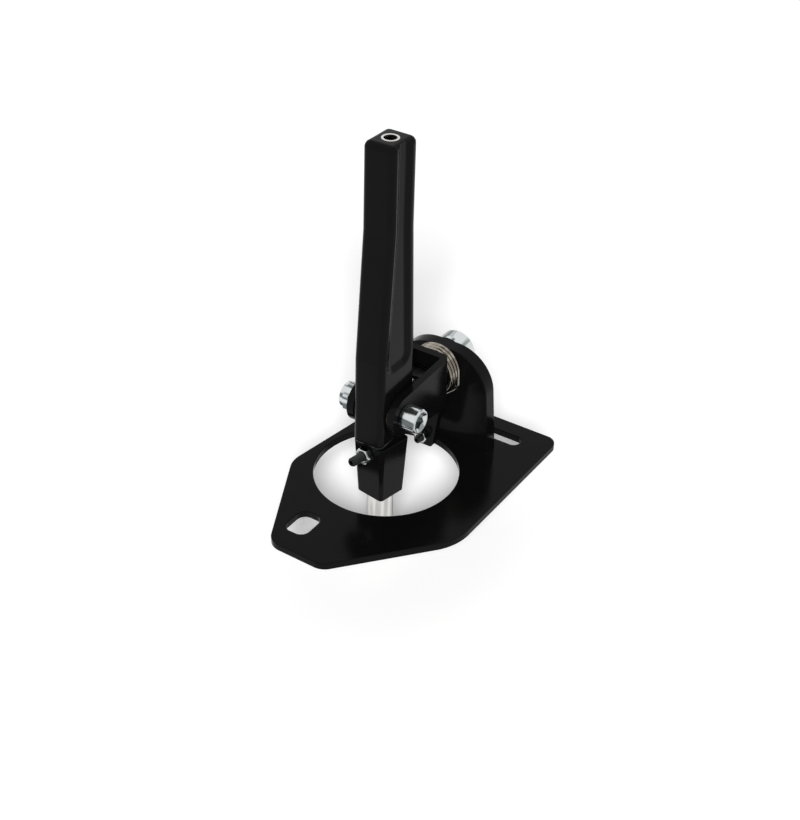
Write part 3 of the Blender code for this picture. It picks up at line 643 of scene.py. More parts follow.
def makeWireTree():
    # Round wire along the route that comes in as edges
    inputs = [("Wire radius", "NodeSocketFloat"), ("Steps", "NodeSocketInt")]
    tree, start, end = newTree("springWire", inputs)
    route = tree.nodes.new("GeometryNodeMeshToCurve")
    tree.links.new(start.outputs["Geometry"], route.inputs["Mesh"])
    even = tree.nodes.new("GeometryNodeResampleCurve")
    tree.links.new(route.outputs[0], even.inputs["Curve"])
    tree.links.new(start.outputs["Steps"], even.inputs["Count"])
    section = tree.nodes.new("GeometryNodeCurvePrimitiveCircle")
    section.inputs["Resolution"].default_value = fineness["wireSides"]
    tree.links.new(start.outputs["Wire radius"], section.inputs["Radius"])
    sweep = tree.nodes.new("GeometryNodeCurveToMesh")
    sweep.inputs["Fill Caps"].default_value = True
    tree.links.new(even.outputs[0], sweep.inputs["Curve"])
    tree.links.new(section.outputs[0], sweep.inputs["Profile Curve"])
    endTree(tree, start, end, sweep.outputs[0])
    return tree


def addNodes(thing, tree, material, values):
    modifier = thing.modifiers.new(tree.name, "NODES")
    modifier.node_group = tree
    for item in tree.interface.items_tree:
        if item.in_out == "INPUT" and item.name in values:
            modifier[item.identifier] = values[item.name]
        if item.in_out == "INPUT" and item.name == "Finish":
            modifier[item.identifier] = material
    bake(thing)


threadTree = makeThreadTree()
wireTree = makeWireTree()
plainFinish = finishMaterial("plain", "zinc", Matrix.Identity(4))
print("node trees made")


# Pieces that several places use
def ringPiece(name, node, outer, inner, low, high, body, slot, matrix):
    profile = [(outer, high), (outer, low), (inner, low), (inner, high)]
    return finishPiece(turnedObject(name, profile, closed=True), body, slot, [node], matrix)


def flangedBush(name, node, outer, wall, length, flangeRadius, flange, body, matrix):
    inner = outer - wall
    profile = [
        (flangeRadius, flange),
        (flangeRadius, 0),
        (outer, 0),
        (outer, -length),
        (inner, -length),
        (inner, flange),
    ]
    bush = turnedObject(name, profile, closed=True, soft=0.00015)
    return finishPiece(bush, body, "bronze", [node], matrix)


def hexNut(name, node, flats, height, holeRadius, body, matrix, collar=(), slot="zinc"):
    # Nut from height 0 up, its corners turned off at 30 degrees
    corner = flats / math.sqrt(3) + gap
    face = flats / 2 - gap
    slope = (corner - face) * math.tan(math.radians(30))
    mouth = 0.0005
    profile = [
        (face, height),
        (corner, height - slope),
        (corner, slope),
        (face, 0),
        (holeRadius + mouth, 0),
        (holeRadius, mouth),
    ]
    top = height
    if collar:
        collarRadius, collarHeight, collarInner, seat = collar
        top = height + collarHeight
        profile = [(collarInner, top), (collarRadius, top), (collarRadius, height)] + profile
        profile += [(holeRadius, height + seat), (collarInner, height + seat)]
    else:
        profile += [(holeRadius, height - mouth), (holeRadius + mouth, height)]
    nut = turnedObject(name, profile, closed=True, soft=0.00012)
    combine(nut, slabObject("prism", [hexPoints(flats)], -slope, top + slope), "INTERSECT")
    softEdges(nut, 0.0002, angle=45)
    return finishPiece(nut, body, slot, [node], matrix)


def setScrew(name, node, radius, length, hexFlats, pitch, body, matrix):
    # Headless threaded screw from height 0 up, with a hex socket in its top
    core = radius - fineness["threadShare"] * pitch
    chamfer = 0.6 * pitch
    hexDepth = 0.0025
    profile = [(0, length), (core, length), (core, 0), (0, 0)]
    screw = turnedObject(name, profile, count=fineness["hole"])
    hexHole(screw, hexFlats, length, hexDepth)
    values = {"Radius": radius, "Pitch": pitch, "Start": chamfer, "Length": length - 2 * chamfer}
    addNodes(screw, threadTree, plainFinish, values)
    return finishPiece(screw, body, "black_oxide", [node], matrix)


# Base plate
plate = {
    "thickness": 0.005,
    "edge": 0.0006,
    # Outline's corners from the back right one, over the left side to the front: x, y and rounding
    "corners": (
        (0.071, 0.033, 0.008),
        (-0.045, 0.033, 0.010),
        (-0.0634, -0.084, 0.020),
        (-0.0255, -0.1577, 0.012),
        (0.0146, -0.1585, 0.012),
        (0.071, -0.093, 0.036),
    ),
    "cornerSteps": 20,
    "hole": (-0.006, -0.0583, 0.0475),
    "holeSteps": 160,
    "frontSlot": (-0.0185, -0.132, 0.0165, 0.0215),
    "frontSlotCorner": 0.006,
    "rearSlotSize": (0.031, 0.010),
    "rearSlotY": 0.016,
    "rearSlotsX": (-0.0271, 0.0355),
}
footScrew = {
    "placesX": (-0.0219, 0.0239),
    "radius": 0.0025,
    "headRadius": 0.005,
    "room": 0.0003,  # round the screw in its hole
    "coneTop": 0.0028,
    "length": 0.019,
    "holeTop": 0.0199,
    "hex": 0.003,
    "hexDepth": 0.0022,
}


def cutFootHoles(thing):
    for x in footScrew["placesX"]:
        radius = footScrew["radius"] + footScrew["room"]
        seat = footScrew["headRadius"] + footScrew["room"]
        profile = [
            (0, footScrew["holeTop"]),
            (radius, footScrew["holeTop"]),
            (radius, footScrew["coneTop"]),
            (seat, gap),
            (seat, -gap),
            (0, -gap),
        ]
        cutter = turnedObject("footCutter", profile, soft=0)
        combine(thing, moved(cutter, Matrix.Translation((x, 0, 0))))


def makePlate():
    x, y, radius = plate["hole"]
    slotX, slotY, slotWidth, slotLength = plate["frontSlot"]
    frontSlot = []
    for sideX, sideY in ((-0.5, -0.5), (0.5, -0.5), (0.5, 0.5), (-0.5, 0.5)):
        frontSlot.append((slotX + sideX * slotWidth, slotY + sideY * slotLength, plate["frontSlotCorner"]))
    loops = [
        roundedLoop(plate["corners"], plate["cornerSteps"]),
        circlePoints(radius, (x, y), plate["holeSteps"]),
        roundedLoop(frontSlot),
    ]
    for rearX in plate["rearSlotsX"]:
        loops.append(slotPoints((rearX, plate["rearSlotY"]), *plate["rearSlotSize"]))
    thing = slabObject("basePlate", loops, 0, plate["thickness"], plate["edge"])
    cutFootHoles(thing)
    finishPiece(thing, "root", "powder_coat", ["base_plate"], Matrix.Identity(4))


makePlate()
print("base plate made")

# Upright bracket
bracket = {
    "foot": 0.0053,
    "top": 0.0748,
    "centreX": 0.001,
    "footWidth": 0.0744,
    "topWidth": 0.0672,
    "halfThickness": 0.005,
    "cornerRadius": 0.028,
    "cornerSteps": 28,
    "pivotHole": 0.0073,
    "pegHole": (0.0028, 0.0396, 0.0043),
    "edge": 0.0008,
}


def makeBracket():
    halfFoot = bracket["footWidth"] / 2
    halfTop = bracket["topWidth"] / 2
    outline = roundedLoop(
        [
            (bracket["centreX"] - halfFoot, bracket["foot"], 0),
            (bracket["centreX"] + halfFoot, bracket["foot"], 0),
            (bracket["centreX"] + halfTop, bracket["top"], bracket["cornerRadius"]),
            (bracket["centreX"] - halfTop, bracket["top"], bracket["cornerRadius"]),
        ],
        bracket["cornerSteps"],
    )
    half = bracket["halfThickness"]
    hole = circlePoints(bracket["pivotHole"], (0, places["pivotHeight"]))
    thing = slabObject("uprightBracket", [outline, hole], -half, half, bracket["edge"])
    moved(thing, facingY)
    cutFootHoles(thing)
    radius, height, depth = bracket["pegHole"]
    bore(thing, radius, -gap, depth, Matrix.Translation((0, -half, height)) @ alongY, fineness["round"])
    finishPiece(thing, "root", "powder_coat", ["upright_bracket"], Matrix.Identity(4))


def makeFootScrews():
    radius = footScrew["radius"]
    length = footScrew["length"]
    coneTop = footScrew["coneTop"]
    profile = [(0, length), (radius, length), (radius, coneTop), (footScrew["headRadius"], gap), (0, gap)]
    for side, x in zip(("left", "right"), footScrew["placesX"]):
        screw = turnedObject("footScrew" + side.title(), profile)
        moved(screw, alongMinusZ)
        hexHole(screw, footScrew["hex"], -gap, footScrew["hexDepth"])
        matrix = Matrix.Translation((x, 0, 0)) @ alongMinusZ
        finishPiece(screw, "root", "zinc", ["foot_screw_" + side], matrix)


makeBracket()
makeFootScrews()
print("bracket made")

# Pivot pin and what it carries
pin = {
    "headRadius": 0.013,
    "headLength": 0.0115,
    "chamfer": 0.0016,
    "dish": 0.0006,
    "dishFloor": 0.55,  # as shares of the head's radius
    "dishRim": 0.62,
    "collarRadius": 0.0142,
    "collarLength": 0.0025,
    "radius": 0.007,
    "threadRadius": 0.006,
    "threadPitch": 0.00175,
    "threadEnd": 0.0008,  # past the nut
    "threadLead": 0.0006,  # plain at the thread's tip
    "threadLess": 0.001,  # plain at both ends together
    "nutFlats": 0.018,
    "nutHeight": 0.010,
    "washerRadius": 0.010,
    "washerThickness": 0.0015,
    "spacerOuter": 0.0115,
    "bushOuter": 0.0085,
    "bushWall": 0.0012,
    "bushLength": 0.0025,
    "flange": 0.001,
    "flangeRadius": 0.0102,
}


def makePivot():
    back = -places["bracketFace"] + gap
    collar = back + pin["collarLength"]
    head = collar + pin["headLength"]
    shoulder = places["webFront"] - pin["flange"] - 2 * gap
    washerBack = shoulder - gap
    washerFront = washerBack - pin["washerThickness"]
    nutBack = washerFront - gap
    end = nutBack - pin["nutHeight"] - pin["threadEnd"]
    core = pin["threadRadius"] - fineness["threadShare"] * pin["threadPitch"]
    profile = [
        (0, head - pin["dish"]),
        (pin["dishFloor"] * pin["headRadius"], head - pin["dish"]),
        (pin["dishRim"] * pin["headRadius"], head),
        (pin["headRadius"] - pin["chamfer"], head),
        (pin["headRadius"], head - pin["chamfer"]),
        (pin["headRadius"], collar),
        (pin["collarRadius"], collar),
        (pin["collarRadius"], back),
        (pin["radius"], back),
        (pin["radius"], shoulder),
        (core, shoulder),
        (core, end),
        (0, end),
    ]
    thing = turnedObject("pivotPin", profile, soft=0.0003)
    values = {
        "Radius": pin["threadRadius"],
        "Pitch": pin["threadPitch"],
        "Start": end + pin["threadLead"],
        "Length": shoulder - end - pin["threadLess"],
    }
    addNodes(thing, threadTree, plainFinish, values)
    finishPiece(thing, "root", "zinc", ["pivot_pin"], pivotAxis @ alongY)
    inner = pin["radius"] + gap
    spacerFront = places["webBack"] + gap + pin["flange"] + gap
    spacerBack = places["bracketFace"] - gap
    ringPiece("pivotSpacer", "pivot_spacer", pin["spacerOuter"], inner, spacerFront, spacerBack,
              "root", "steel", pivotAxis @ alongY)
    hole = pin["threadRadius"] + gap
    ringPiece("pivotWasher", "pivot_washer", pin["washerRadius"], hole, washerFront, washerBack,
              "root", "black_oxide", pivotAxis @ alongY)
    nutPlace = pivotAxis @ Matrix.Translation((0, nutBack, 0)) @ alongMinusY
    hexNut("pivotNut", "pivot_nut", pin["nutFlats"], pin["nutHeight"], hole, "root", nutPlace,
           slot="black_oxide")
    for side, y, turn in (
        ("back", places["webBack"] + gap, alongY),
        ("front", places["webFront"] - gap, alongMinusY),
    ):
        bushPlace = pivotAxis @ Matrix.Translation((0, y, 0)) @ turn
        flangedBush("yokeBush" + side.title(), "yoke_bush_" + side, pin["bushOuter"], pin["bushWall"],
                    pin["bushLength"], pin["flangeRadius"], pin["flange"], "yoke", bushPlace)


makePivot()
print("pivot pin, washer, nut and bushes made")

# Centring spring and its pegs
spring = {
    "wire": 0.0026,
    "radius": 0.0155,
    "turns": 3.5,
    "sideRoom": 0.0004,
    "stepsPerTurn": 48,
    "pegRadius": 0.004,
    "pegDrop": 0.0214,
    "stemRadius": 0.0025,
    "stemLength": 0.004,
    "legRoom": 0.0012,
    "legReach": 0.003,
    "legPastPeg": 0.0032,
    "legSteps": 10,
    "wireSteps": 420,
    "pegSoft": 0.0005,
}
springMiddle = (places["bracketFace"] + places["webBack"]) / 2


def bentRoute(points, reach, steps):
    route = [points[0]]
    for before, corner, after in zip(points, points[1:], points[2:]):
        first = corner + (before - corner).normalized() * reach
        last = corner + (after - corner).normalized() * reach
        for step in range(steps + 1):
            t = step / steps
            route.append(first * (1 - t) ** 2 + corner * 2 * t * (1 - t) + last * t**2)
    route.append(points[-1])
    return route


def springLeg(side, y):
    clearRadius = spring["radius"] + spring["wire"] + gap
    besidePeg = side * (spring["pegRadius"] + gap + spring["wire"] / 2)
    kneeDrop = math.sqrt((clearRadius + spring["legRoom"]) ** 2 - spring["radius"] ** 2)
    corners = [
        Vector((side * spring["radius"], y, 0)),
        Vector((side * spring["radius"], y, -kneeDrop)),
        Vector((besidePeg, springMiddle, -clearRadius - gap)),
        Vector((besidePeg, springMiddle, -spring["pegDrop"] - spring["legPastPeg"])),
    ]
    return bentRoute(corners, spring["legReach"], spring["legSteps"])


def makeSpring():
    firstY = places["bracketFace"] - spring["sideRoom"] - spring["wire"] / 2
    coil = []
    for step in range(round(spring["turns"] * spring["stepsPerTurn"]) + 1):
        turns = step / spring["stepsPerTurn"]
        angle = 2 * math.pi * turns
        y = firstY - (spring["wire"] + gap) * turns
        coil.append(Vector((spring["radius"] * math.cos(angle), y, spring["radius"] * math.sin(angle))))
    route = springLeg(1, coil[0].y)[:0:-1] + coil + springLeg(-1, coil[-1].y)[1:]
    mesh = bpy.data.meshes.new("centringSpring")
    mesh.from_pydata(route, [(i, i + 1) for i in range(len(route) - 1)], [])
    thing = showObject("centringSpring", mesh)
    values = {"Wire radius": spring["wire"] / 2, "Steps": spring["wireSteps"]}
    addNodes(thing, wireTree, plainFinish, values)
    thing.data.transform(pivotAxis)
    thing.data.materials.clear()
    thing.data.materials.append(finishMaterial("springWire", "spring_steel", pivotAxis @ alongY))
    thing.data.shade_smooth()
    markEnds(thing.data, pivotAxis @ alongY)
    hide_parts("centring_spring")
    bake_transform(thing)


def makePeg(name, node, body, face, outwards):
    length = (places["bracketFace"] - places["webBack"]) / 2 - gap
    profile = [
        (0, length),
        (spring["pegRadius"], length),
        (spring["pegRadius"], gap),
        (spring["stemRadius"], gap),
        (spring["stemRadius"], -spring["stemLength"]),
        (0, -spring["stemLength"]),
    ]
    matrix = pivotAxis @ Matrix.Translation((0, face, -spring["pegDrop"])) @ outwards
    finishPiece(turnedObject(name, profile, soft=spring["pegSoft"]), body, "zinc", [node], matrix)


makeSpring()
makePeg("bracketSpringPeg", "bracket_spring_peg", "root", places["bracketFace"], alongMinusY)
makePeg("yokeSpringPeg", "yoke_spring_peg", "yoke", places["webBack"], alongY)
print("spring and pegs made")

# Yoke: bent sheet with two arms and a tail
yoke = {
    "sheet": 0.005,
    "innerWidth": 0.0252,
    "bendRadius": 0.002,
    "depth": 0.0527,
    "endRadius": 0.0135,
    "webTop": 0.0155,
    "webFoot": 0.0215,
    "tailShoulder": 0.004,
    "tailInset": 0.0001,  # tail's front face behind the web's
    "tailTopWidth": 0.024,
    "tailFootWidth": 0.0136,
    "tailFoot": 0.058,
    "tailCorner": 0.003,
    "shoulderRadius": 0.006,
    "edge": 0.0005,
    "pivotDrop": 0.004,
    "stopDrop": 0.050,
    "stopHole": 0.0028,
    "pivotHole": 0.0088,
    "boltHole": 0.0058,
    "pegHole": 0.0028,
    "pegHoleDepth": 0.0043,
}
halfInner = yoke["innerWidth"] / 2
halfOuter = halfInner + yoke["sheet"]
tailFront = yoke["depth"] - yoke["sheet"] + yoke["tailInset"]


def yokePlan():
    front = -yoke["endRadius"] - yoke["sheet"]
    inside = yoke["depth"] - yoke["sheet"]
    outerBend = yoke["bendRadius"] + yoke["sheet"]
    return roundedLoop(
        [
            (-halfOuter, front, 0),
            (-halfInner, front, 0),
            (-halfInner, inside, yoke["bendRadius"]),
            (halfInner, inside, yoke["bendRadius"]),
            (halfInner, front, 0),
            (halfOuter, front, 0),
            (halfOuter, yoke["depth"], outerBend),
            (-halfOuter, yoke["depth"], outerBend),
        ]
    )


def yokeSide():
    radius = yoke["endRadius"]
    room = yoke["sheet"]
    back = yoke["depth"] + room
    foot = yoke["webFoot"]
    top = yoke["webTop"]
    toFoot = math.atan2(-foot, tailFront) - math.acos(radius / math.hypot(tailFront, foot))
    toTop = math.atan2(top, back) + math.acos(radius / math.hypot(back, top)) - 2 * math.pi
    points = []
    for step in range(fineness["arc"] + 1):
        angle = toTop + (toFoot - toTop) * step / fineness["arc"]
        points.append((radius * math.cos(angle), radius * math.sin(angle)))
    deepest = yoke["tailFoot"] + room
    return points + [(tailFront, -foot), (tailFront, -deepest), (back, -deepest), (back, top)]


def yokeFront():
    room = yoke["sheet"]
    side = halfOuter + room
    top = yoke["webTop"] + room
    foot = -yoke["webFoot"]
    shoulder = -yoke["webFoot"] - yoke["tailShoulder"]
    halfTop = yoke["tailTopWidth"] / 2
    halfFoot = yoke["tailFootWidth"] / 2
    return roundedLoop(
        [
            (-halfTop, shoulder, yoke["shoulderRadius"]),
            (-halfFoot, -yoke["tailFoot"], yoke["tailCorner"]),
            (halfFoot, -yoke["tailFoot"], yoke["tailCorner"]),
            (halfTop, shoulder, yoke["shoulderRadius"]),
            (halfOuter, foot, 0),
            (side, foot, 0),
            (side, top, 0),
            (-side, top, 0),
            (-side, foot, 0),
            (-halfOuter, foot, 0),
        ]
    )


def makeYoke():
    room = yoke["sheet"]
    low = -yoke["tailFoot"] - room
    thing = slabObject("yokeFrame", [yokePlan()], low, -low)
    wide = halfOuter + room
    deep = yoke["depth"] + room
    combine(thing, moved(slabObject("side", [yokeSide()], -wide, wide), facingX), "INTERSECT")
    combine(thing, moved(slabObject("front", [yokeFront()], -deep, deep), facingY), "INTERSECT")
    holes = [
        (yoke["pivotHole"], Matrix.Translation((0, yoke["depth"], -yoke["pivotDrop"])) @ alongY),
        (yoke["stopHole"], Matrix.Translation((0, yoke["depth"], -yoke["stopDrop"])) @ alongY),
        (yoke["boltHole"], Matrix.Translation((-yoke["depth"] / 2, 0, 0)) @ alongX),
    ]
    for radius, matrix in holes:
        bore(thing, radius, -yoke["sheet"] - gap, deep, matrix)
    pegPlace = Matrix.Translation((0, yoke["depth"], -yoke["pivotDrop"] - spring["pegDrop"])) @ alongMinusY
    bore(thing, yoke["pegHole"], -gap, yoke["pegHoleDepth"], pegPlace)
    softEdges(thing, yoke["edge"], segments=3)
    finishPiece(thing, "yoke", "powder_coat", ["yoke"], yokeAxis)


stopScrew = {
    "radius": 0.0025,
    "reach": 0.0083,
    "back": 0.004,
    "hex": 0.0025,
    "pitch": 0.0008,
    "nutFlats": 0.008,
    "nutHeight": 0.004,
}


def makeStopScrew():
    length = stopScrew["reach"] + yoke["sheet"] - yoke["tailInset"] + stopScrew["back"]
    backY = yoke["depth"] + stopScrew["back"]
    backEnd = yokeAxis @ Matrix.Translation((0, backY, -yoke["stopDrop"])) @ alongMinusY
    setScrew("stopScrew", "stop_screw", stopScrew["radius"], length, stopScrew["hex"], stopScrew["pitch"],
             "yoke", backEnd)
    nutPlace = yokeAxis @ Matrix.Translation((0, tailFront - gap, -yoke["stopDrop"])) @ alongMinusY
    hexNut("stopScrewNut", "stop_screw_nut", stopScrew["nutFlats"], stopScrew["nutHeight"],
           stopScrew["radius"] + gap, "yoke", nutPlace)


makeYoke()
makeStopScrew()
print("yoke and stop screw made")

# Cross bolt with its lock nut, washer and sleeve
bolt = {
    "radius": 0.0055,
    "pitch": 0.0018,
    "headRadius": 0.0083,
    "headLength": 0.0113,
    "headChamfer": 0.0008,
    "hex": 0.0095,
    "hexDepth": 0.0055,
    "mouthShare": 1.22,
    "nutFlats": 0.0175,
    "nutHeight": 0.0055,
    "collarHeight": 0.0023,
    "washerRadius": 0.0105,
    "washerThickness": 0.001,
    "sleeveWall": 0.0017,
    "ringWall": 0.0011,
    "ringSeat": 0.0006,
    "pastNut": 0.0004,
    "threadLead": 0.0005,
    "threadLess": 0.0012,
}


def makeCrossBolt():
    head = halfOuter + gap
    headTop = head + bolt["headLength"]
    washerOutside = head + bolt["washerThickness"]
    nutInside = washerOutside + gap
    end = nutInside + bolt["nutHeight"] + bolt["collarHeight"] + bolt["pastNut"]
    hole = bolt["radius"] + gap
    core = bolt["radius"] - fineness["threadShare"] * bolt["pitch"]
    rim = bolt["headRadius"]
    profile = [
        (0, headTop),
        (rim - bolt["headChamfer"], headTop),
        (rim, headTop - bolt["headChamfer"]),
        (rim, head),
        (bolt["radius"], head),
        (bolt["radius"], -halfOuter),
        (core, -halfOuter - bolt["threadLead"]),
        (core, -end),
        (0, -end),
    ]
    thing = turnedObject("crossBolt", profile)
    hexHole(thing, bolt["hex"], headTop, bolt["hexDepth"], bolt["mouthShare"])
    values = {
        "Radius": bolt["radius"],
        "Pitch": bolt["pitch"],
        "Start": -end + bolt["threadLead"],
        "Length": end - halfOuter - bolt["threadLess"],
    }
    addNodes(thing, threadTree, plainFinish, values)
    finishPiece(thing, "yoke", "zinc", ["cross_bolt"], yokeAxis @ alongX)
    ringPiece("crossBoltWasher", "cross_bolt_washer", bolt["washerRadius"], hole, head, washerOutside,
              "yoke", "black_oxide", yokeAxis @ alongMinusX)
    halfSleeve = halfInner - gap
    ringPiece("crossBoltSleeve", "cross_bolt_sleeve", hole + bolt["sleeveWall"], hole,
              -halfSleeve, halfSleeve, "yoke", "steel", yokeAxis @ alongX)
    nutPlace = yokeAxis @ Matrix.Translation((-nutInside, 0, 0)) @ alongMinusX
    ringOuter = hole + bolt["ringWall"]
    collarInner = ringOuter + gap
    collar = (collarInner + bolt["ringWall"], bolt["collarHeight"], collarInner, bolt["ringSeat"])
    hexNut("crossBoltNut", "cross_bolt_nut", bolt["nutFlats"], bolt["nutHeight"], hole, "yoke", nutPlace,
           collar)
    ringFoot = bolt["nutHeight"] + bolt["ringSeat"] + gap
    ringTop = bolt["nutHeight"] + bolt["collarHeight"] - gap
    ringPiece("nutLockRing", "nut_lock_ring", ringOuter, hole, ringFoot, ringTop, "yoke", "nylon", nutPlace)


makeCrossBolt()
print("cross bolt made")

# Lever
lever = {
    "width": 0.022,
    "top": 0.181,
    "foot": 0.022,
    "hubBack": 0.020,
    "hubFront": 0.0165,
    "neckBack": 0.016,
    "neckFront": 0.010,
    "neckHeight": 0.125,
    "hubHeight": 0.040,
    "edge": 0.0042,
    "cornerRoom": 0.0002,  # outline's corners over the edge's rounding
    "frontFlange": 0.009,
    "backFlange": 0.010,
    "recessFoot": 0.035,
    "recessCorner": 0.004,
    # Recess's wall from the outside in: how far outside the floor's outline, and how high
    "recessWall": (
        (0.0048, 0.002),
        (0.0048, 0.00002),
        (0.0038, -0.00012),
        (0.0029, -0.0005),
        (0.0003, -0.00185),
        (-0.0002, -0.0020),
        (-0.0008, -0.0021),
        (-0.0016, -0.0021),
    ),
    "insertRadius": 0.0055,
    "insertBore": 0.004,
    "insertLength": 0.020,
    "bushOuter": 0.0095,
    "bushWall": 0.0017,
    "bushFlangeRadius": 0.0125,
    "hubRound": 0.02,
    "neckBackRound": 0.02,
    "neckFrontRound": 0.012,
    "recessHubRound": 0.002,
    "pastTop": 0.004,
    "spigotHole": 0.0083,
    "spigotHoleTop": 0.0133,
}


def leverRecess(side):
    neckFront = lever["frontFlange"] - lever["neckFront"]
    hubFront = lever["frontFlange"] - lever["hubFront"]
    neckBack = lever["neckBack"] - lever["backFlange"]
    hubBack = lever["hubBack"] - lever["backFlange"]
    pastTop = lever["top"] + lever["pastTop"]
    hubRound = lever["recessHubRound"]
    outline = roundedLoop(
        [
            (hubFront, lever["recessFoot"], lever["recessCorner"]),
            (hubBack, lever["recessFoot"], lever["recessCorner"]),
            (hubBack, lever["hubHeight"], hubRound),
            (neckBack, lever["neckHeight"], lever["neckBackRound"]),
            (neckBack, pastTop, 0),
            (neckFront, pastTop, 0),
            (neckFront, lever["neckHeight"], lever["neckBackRound"]),
            (hubFront, lever["hubHeight"], hubRound),
        ]
    )
    rims = [(-out, side * height) for out, height in lever["recessWall"]]
    cutter = loftObject("recess", [outline], rims)
    return moved(cutter, Matrix.Translation((side * lever["width"] / 2, 0, 0)) @ facingX)


def makeLever():
    corner = lever["edge"] + lever["cornerRoom"]
    outline = roundedLoop(
        [
            (-lever["hubFront"], -lever["foot"], corner),
            (lever["hubBack"], -lever["foot"], corner),
            (lever["hubBack"], lever["hubHeight"], lever["hubRound"]),
            (lever["neckBack"], lever["neckHeight"], lever["neckBackRound"]),
            (lever["neckBack"], lever["top"], corner),
            (-lever["neckFront"], lever["top"], corner),
            (-lever["neckFront"], lever["neckHeight"], lever["neckFrontRound"]),
            (-lever["hubFront"], lever["hubHeight"], lever["hubRound"]),
        ]
    )
    half = lever["width"] / 2
    thing = moved(slabObject("leverBody", [outline], -half, half, lever["edge"]), facingX)
    for side in (-1, 1):
        combine(thing, leverRecess(side))
    insertY = (lever["neckBack"] - lever["neckFront"]) / 2
    insertLow = lever["top"] - lever["insertLength"] - gap
    insertPlace = Matrix.Translation((0, insertY, 0))
    bore(thing, lever["bushOuter"] + gap, -half - gap, half + gap, alongX)
    bore(thing, lever["insertRadius"] + gap, insertLow, lever["top"] + gap, insertPlace)
    bore(thing, lever["spigotHole"], -lever["foot"] - gap, -lever["spigotHoleTop"], Matrix.Identity(4))
    finishPiece(thing, "lever", "powder_coat", ["lever"], leverAxis)
    seat = half + gap
    flange = halfInner - gap - seat
    for name, node, side, turn in (
        ("leverBushLeft", "lever_bush_left", -1, alongMinusX),
        ("leverBushRight", "lever_bush_right", 1, alongX),
    ):
        bushPlace = leverAxis @ Matrix.Translation((side * seat, 0, 0)) @ turn
        flangedBush(name, node, lever["bushOuter"], lever["bushWall"], seat - gap, lever["bushFlangeRadius"],
                    flange, "lever", bushPlace)
    ringPiece("knobInsert", "knob_insert", lever["insertRadius"], lever["insertBore"],
              lever["top"] - lever["insertLength"], lever["top"], "lever", "steel", leverAxis @ insertPlace)


makeLever()
print("lever made")

# Lower socket, clamp screw, rod and ball
socket = {
    "top": 0.0223,
    "topWidth": 0.0252,
    "footWidth": 0.0214,
    "foot": 0.063,
    "edge": 0.0025,
    "spigotRadius": 0.008,
    "spigotHeight": 0.0087,
    "boreRadius": 0.0063,
    "rimSoft": 0.0005,
    "cornerSegments": 8,
    "clampDrop": 0.029,
    "clampRadius": 0.003,
    "clampLength": 0.021,
    "clampHex": 0.003,
    "clampPitch": 0.001,
    "clampFlats": 0.010,
    "clampHeight": 0.005,
}


def makeSocket():
    length = socket["foot"] - socket["top"]
    shape = bmesh.new()
    footCorner = socket["footWidth"] / math.sqrt(2)
    topCorner = socket["topWidth"] / math.sqrt(2)
    bmesh.ops.create_cone(
        shape, cap_ends=True, segments=4, radius1=footCorner, radius2=topCorner, depth=length
    )
    upright = [edge for edge in shape.edges if abs(edge.verts[0].co.z - edge.verts[1].co.z) > length / 2]
    bmesh.ops.bevel(shape, geom=upright, offset=socket["edge"], segments=socket["cornerSegments"],
                    profile=0.5, affect="EDGES")
    bmesh.ops.rotate(shape, verts=shape.verts, matrix=Matrix.Rotation(math.radians(45), 3, "Z"))
    bmesh.ops.translate(shape, verts=shape.verts, vec=(0, 0, -socket["top"] - length / 2))
    thing = closedObject("leverSocket", shape)
    softEdges(thing, socket["rimSoft"], angle=60, segments=3)
    spigotTop = -socket["top"] + socket["spigotHeight"]
    spigotFoot = -socket["top"] - socket["spigotHeight"]
    radius = socket["spigotRadius"]
    spigot = [(0, spigotTop), (radius, spigotTop), (radius, spigotFoot), (0, spigotFoot)]
    combine(thing, turnedObject("spigot", spigot, count=fineness["hole"]), "UNION")
    bore(thing, socket["boreRadius"], -socket["foot"] - gap, spigotTop + gap, Matrix.Identity(4))
    place = Matrix.Translation((0, 0, -socket["clampDrop"])) @ alongMinusY
    bore(thing, socket["clampRadius"] + gap, 0, socket["topWidth"], place)
    finishPiece(thing, "lever", "powder_coat", ["lever_socket"], rodAxis)


def makeClampScrew():
    tip = rodAxis @ Matrix.Translation((0, -socket["boreRadius"], -socket["clampDrop"])) @ alongMinusY
    setScrew("clampScrew", "clamp_screw", socket["clampRadius"], socket["clampLength"], socket["clampHex"],
             socket["clampPitch"], "lever", tip)
    drop = socket["clampDrop"] - socket["clampFlats"] / math.sqrt(3)
    share = (drop - socket["top"]) / (socket["foot"] - socket["top"])
    face = (socket["topWidth"] + (socket["footWidth"] - socket["topWidth"]) * share) / 2 + gap
    place = rodAxis @ Matrix.Translation((0, -face, -socket["clampDrop"])) @ alongMinusY
    hexNut("clampScrewNut", "clamp_screw_nut", socket["clampFlats"], socket["clampHeight"],
           socket["clampRadius"] + gap, "lever", place)


rod = {
    "radius": 0.0086,
    "topRadius": 0.006,
    "top": 0.017,
    "shoulder": 0.064,
    "ballRadius": 0.0127,
    "ballDrop": 0.097,
    "topFlat": 0.0086,
    "footFlat": 0.0065,
    "pinRadius": 0.005,
    "pinInset": 0.0005,
    "chamfer": 0.0006,
    "ballSoft": 0.0001,
}


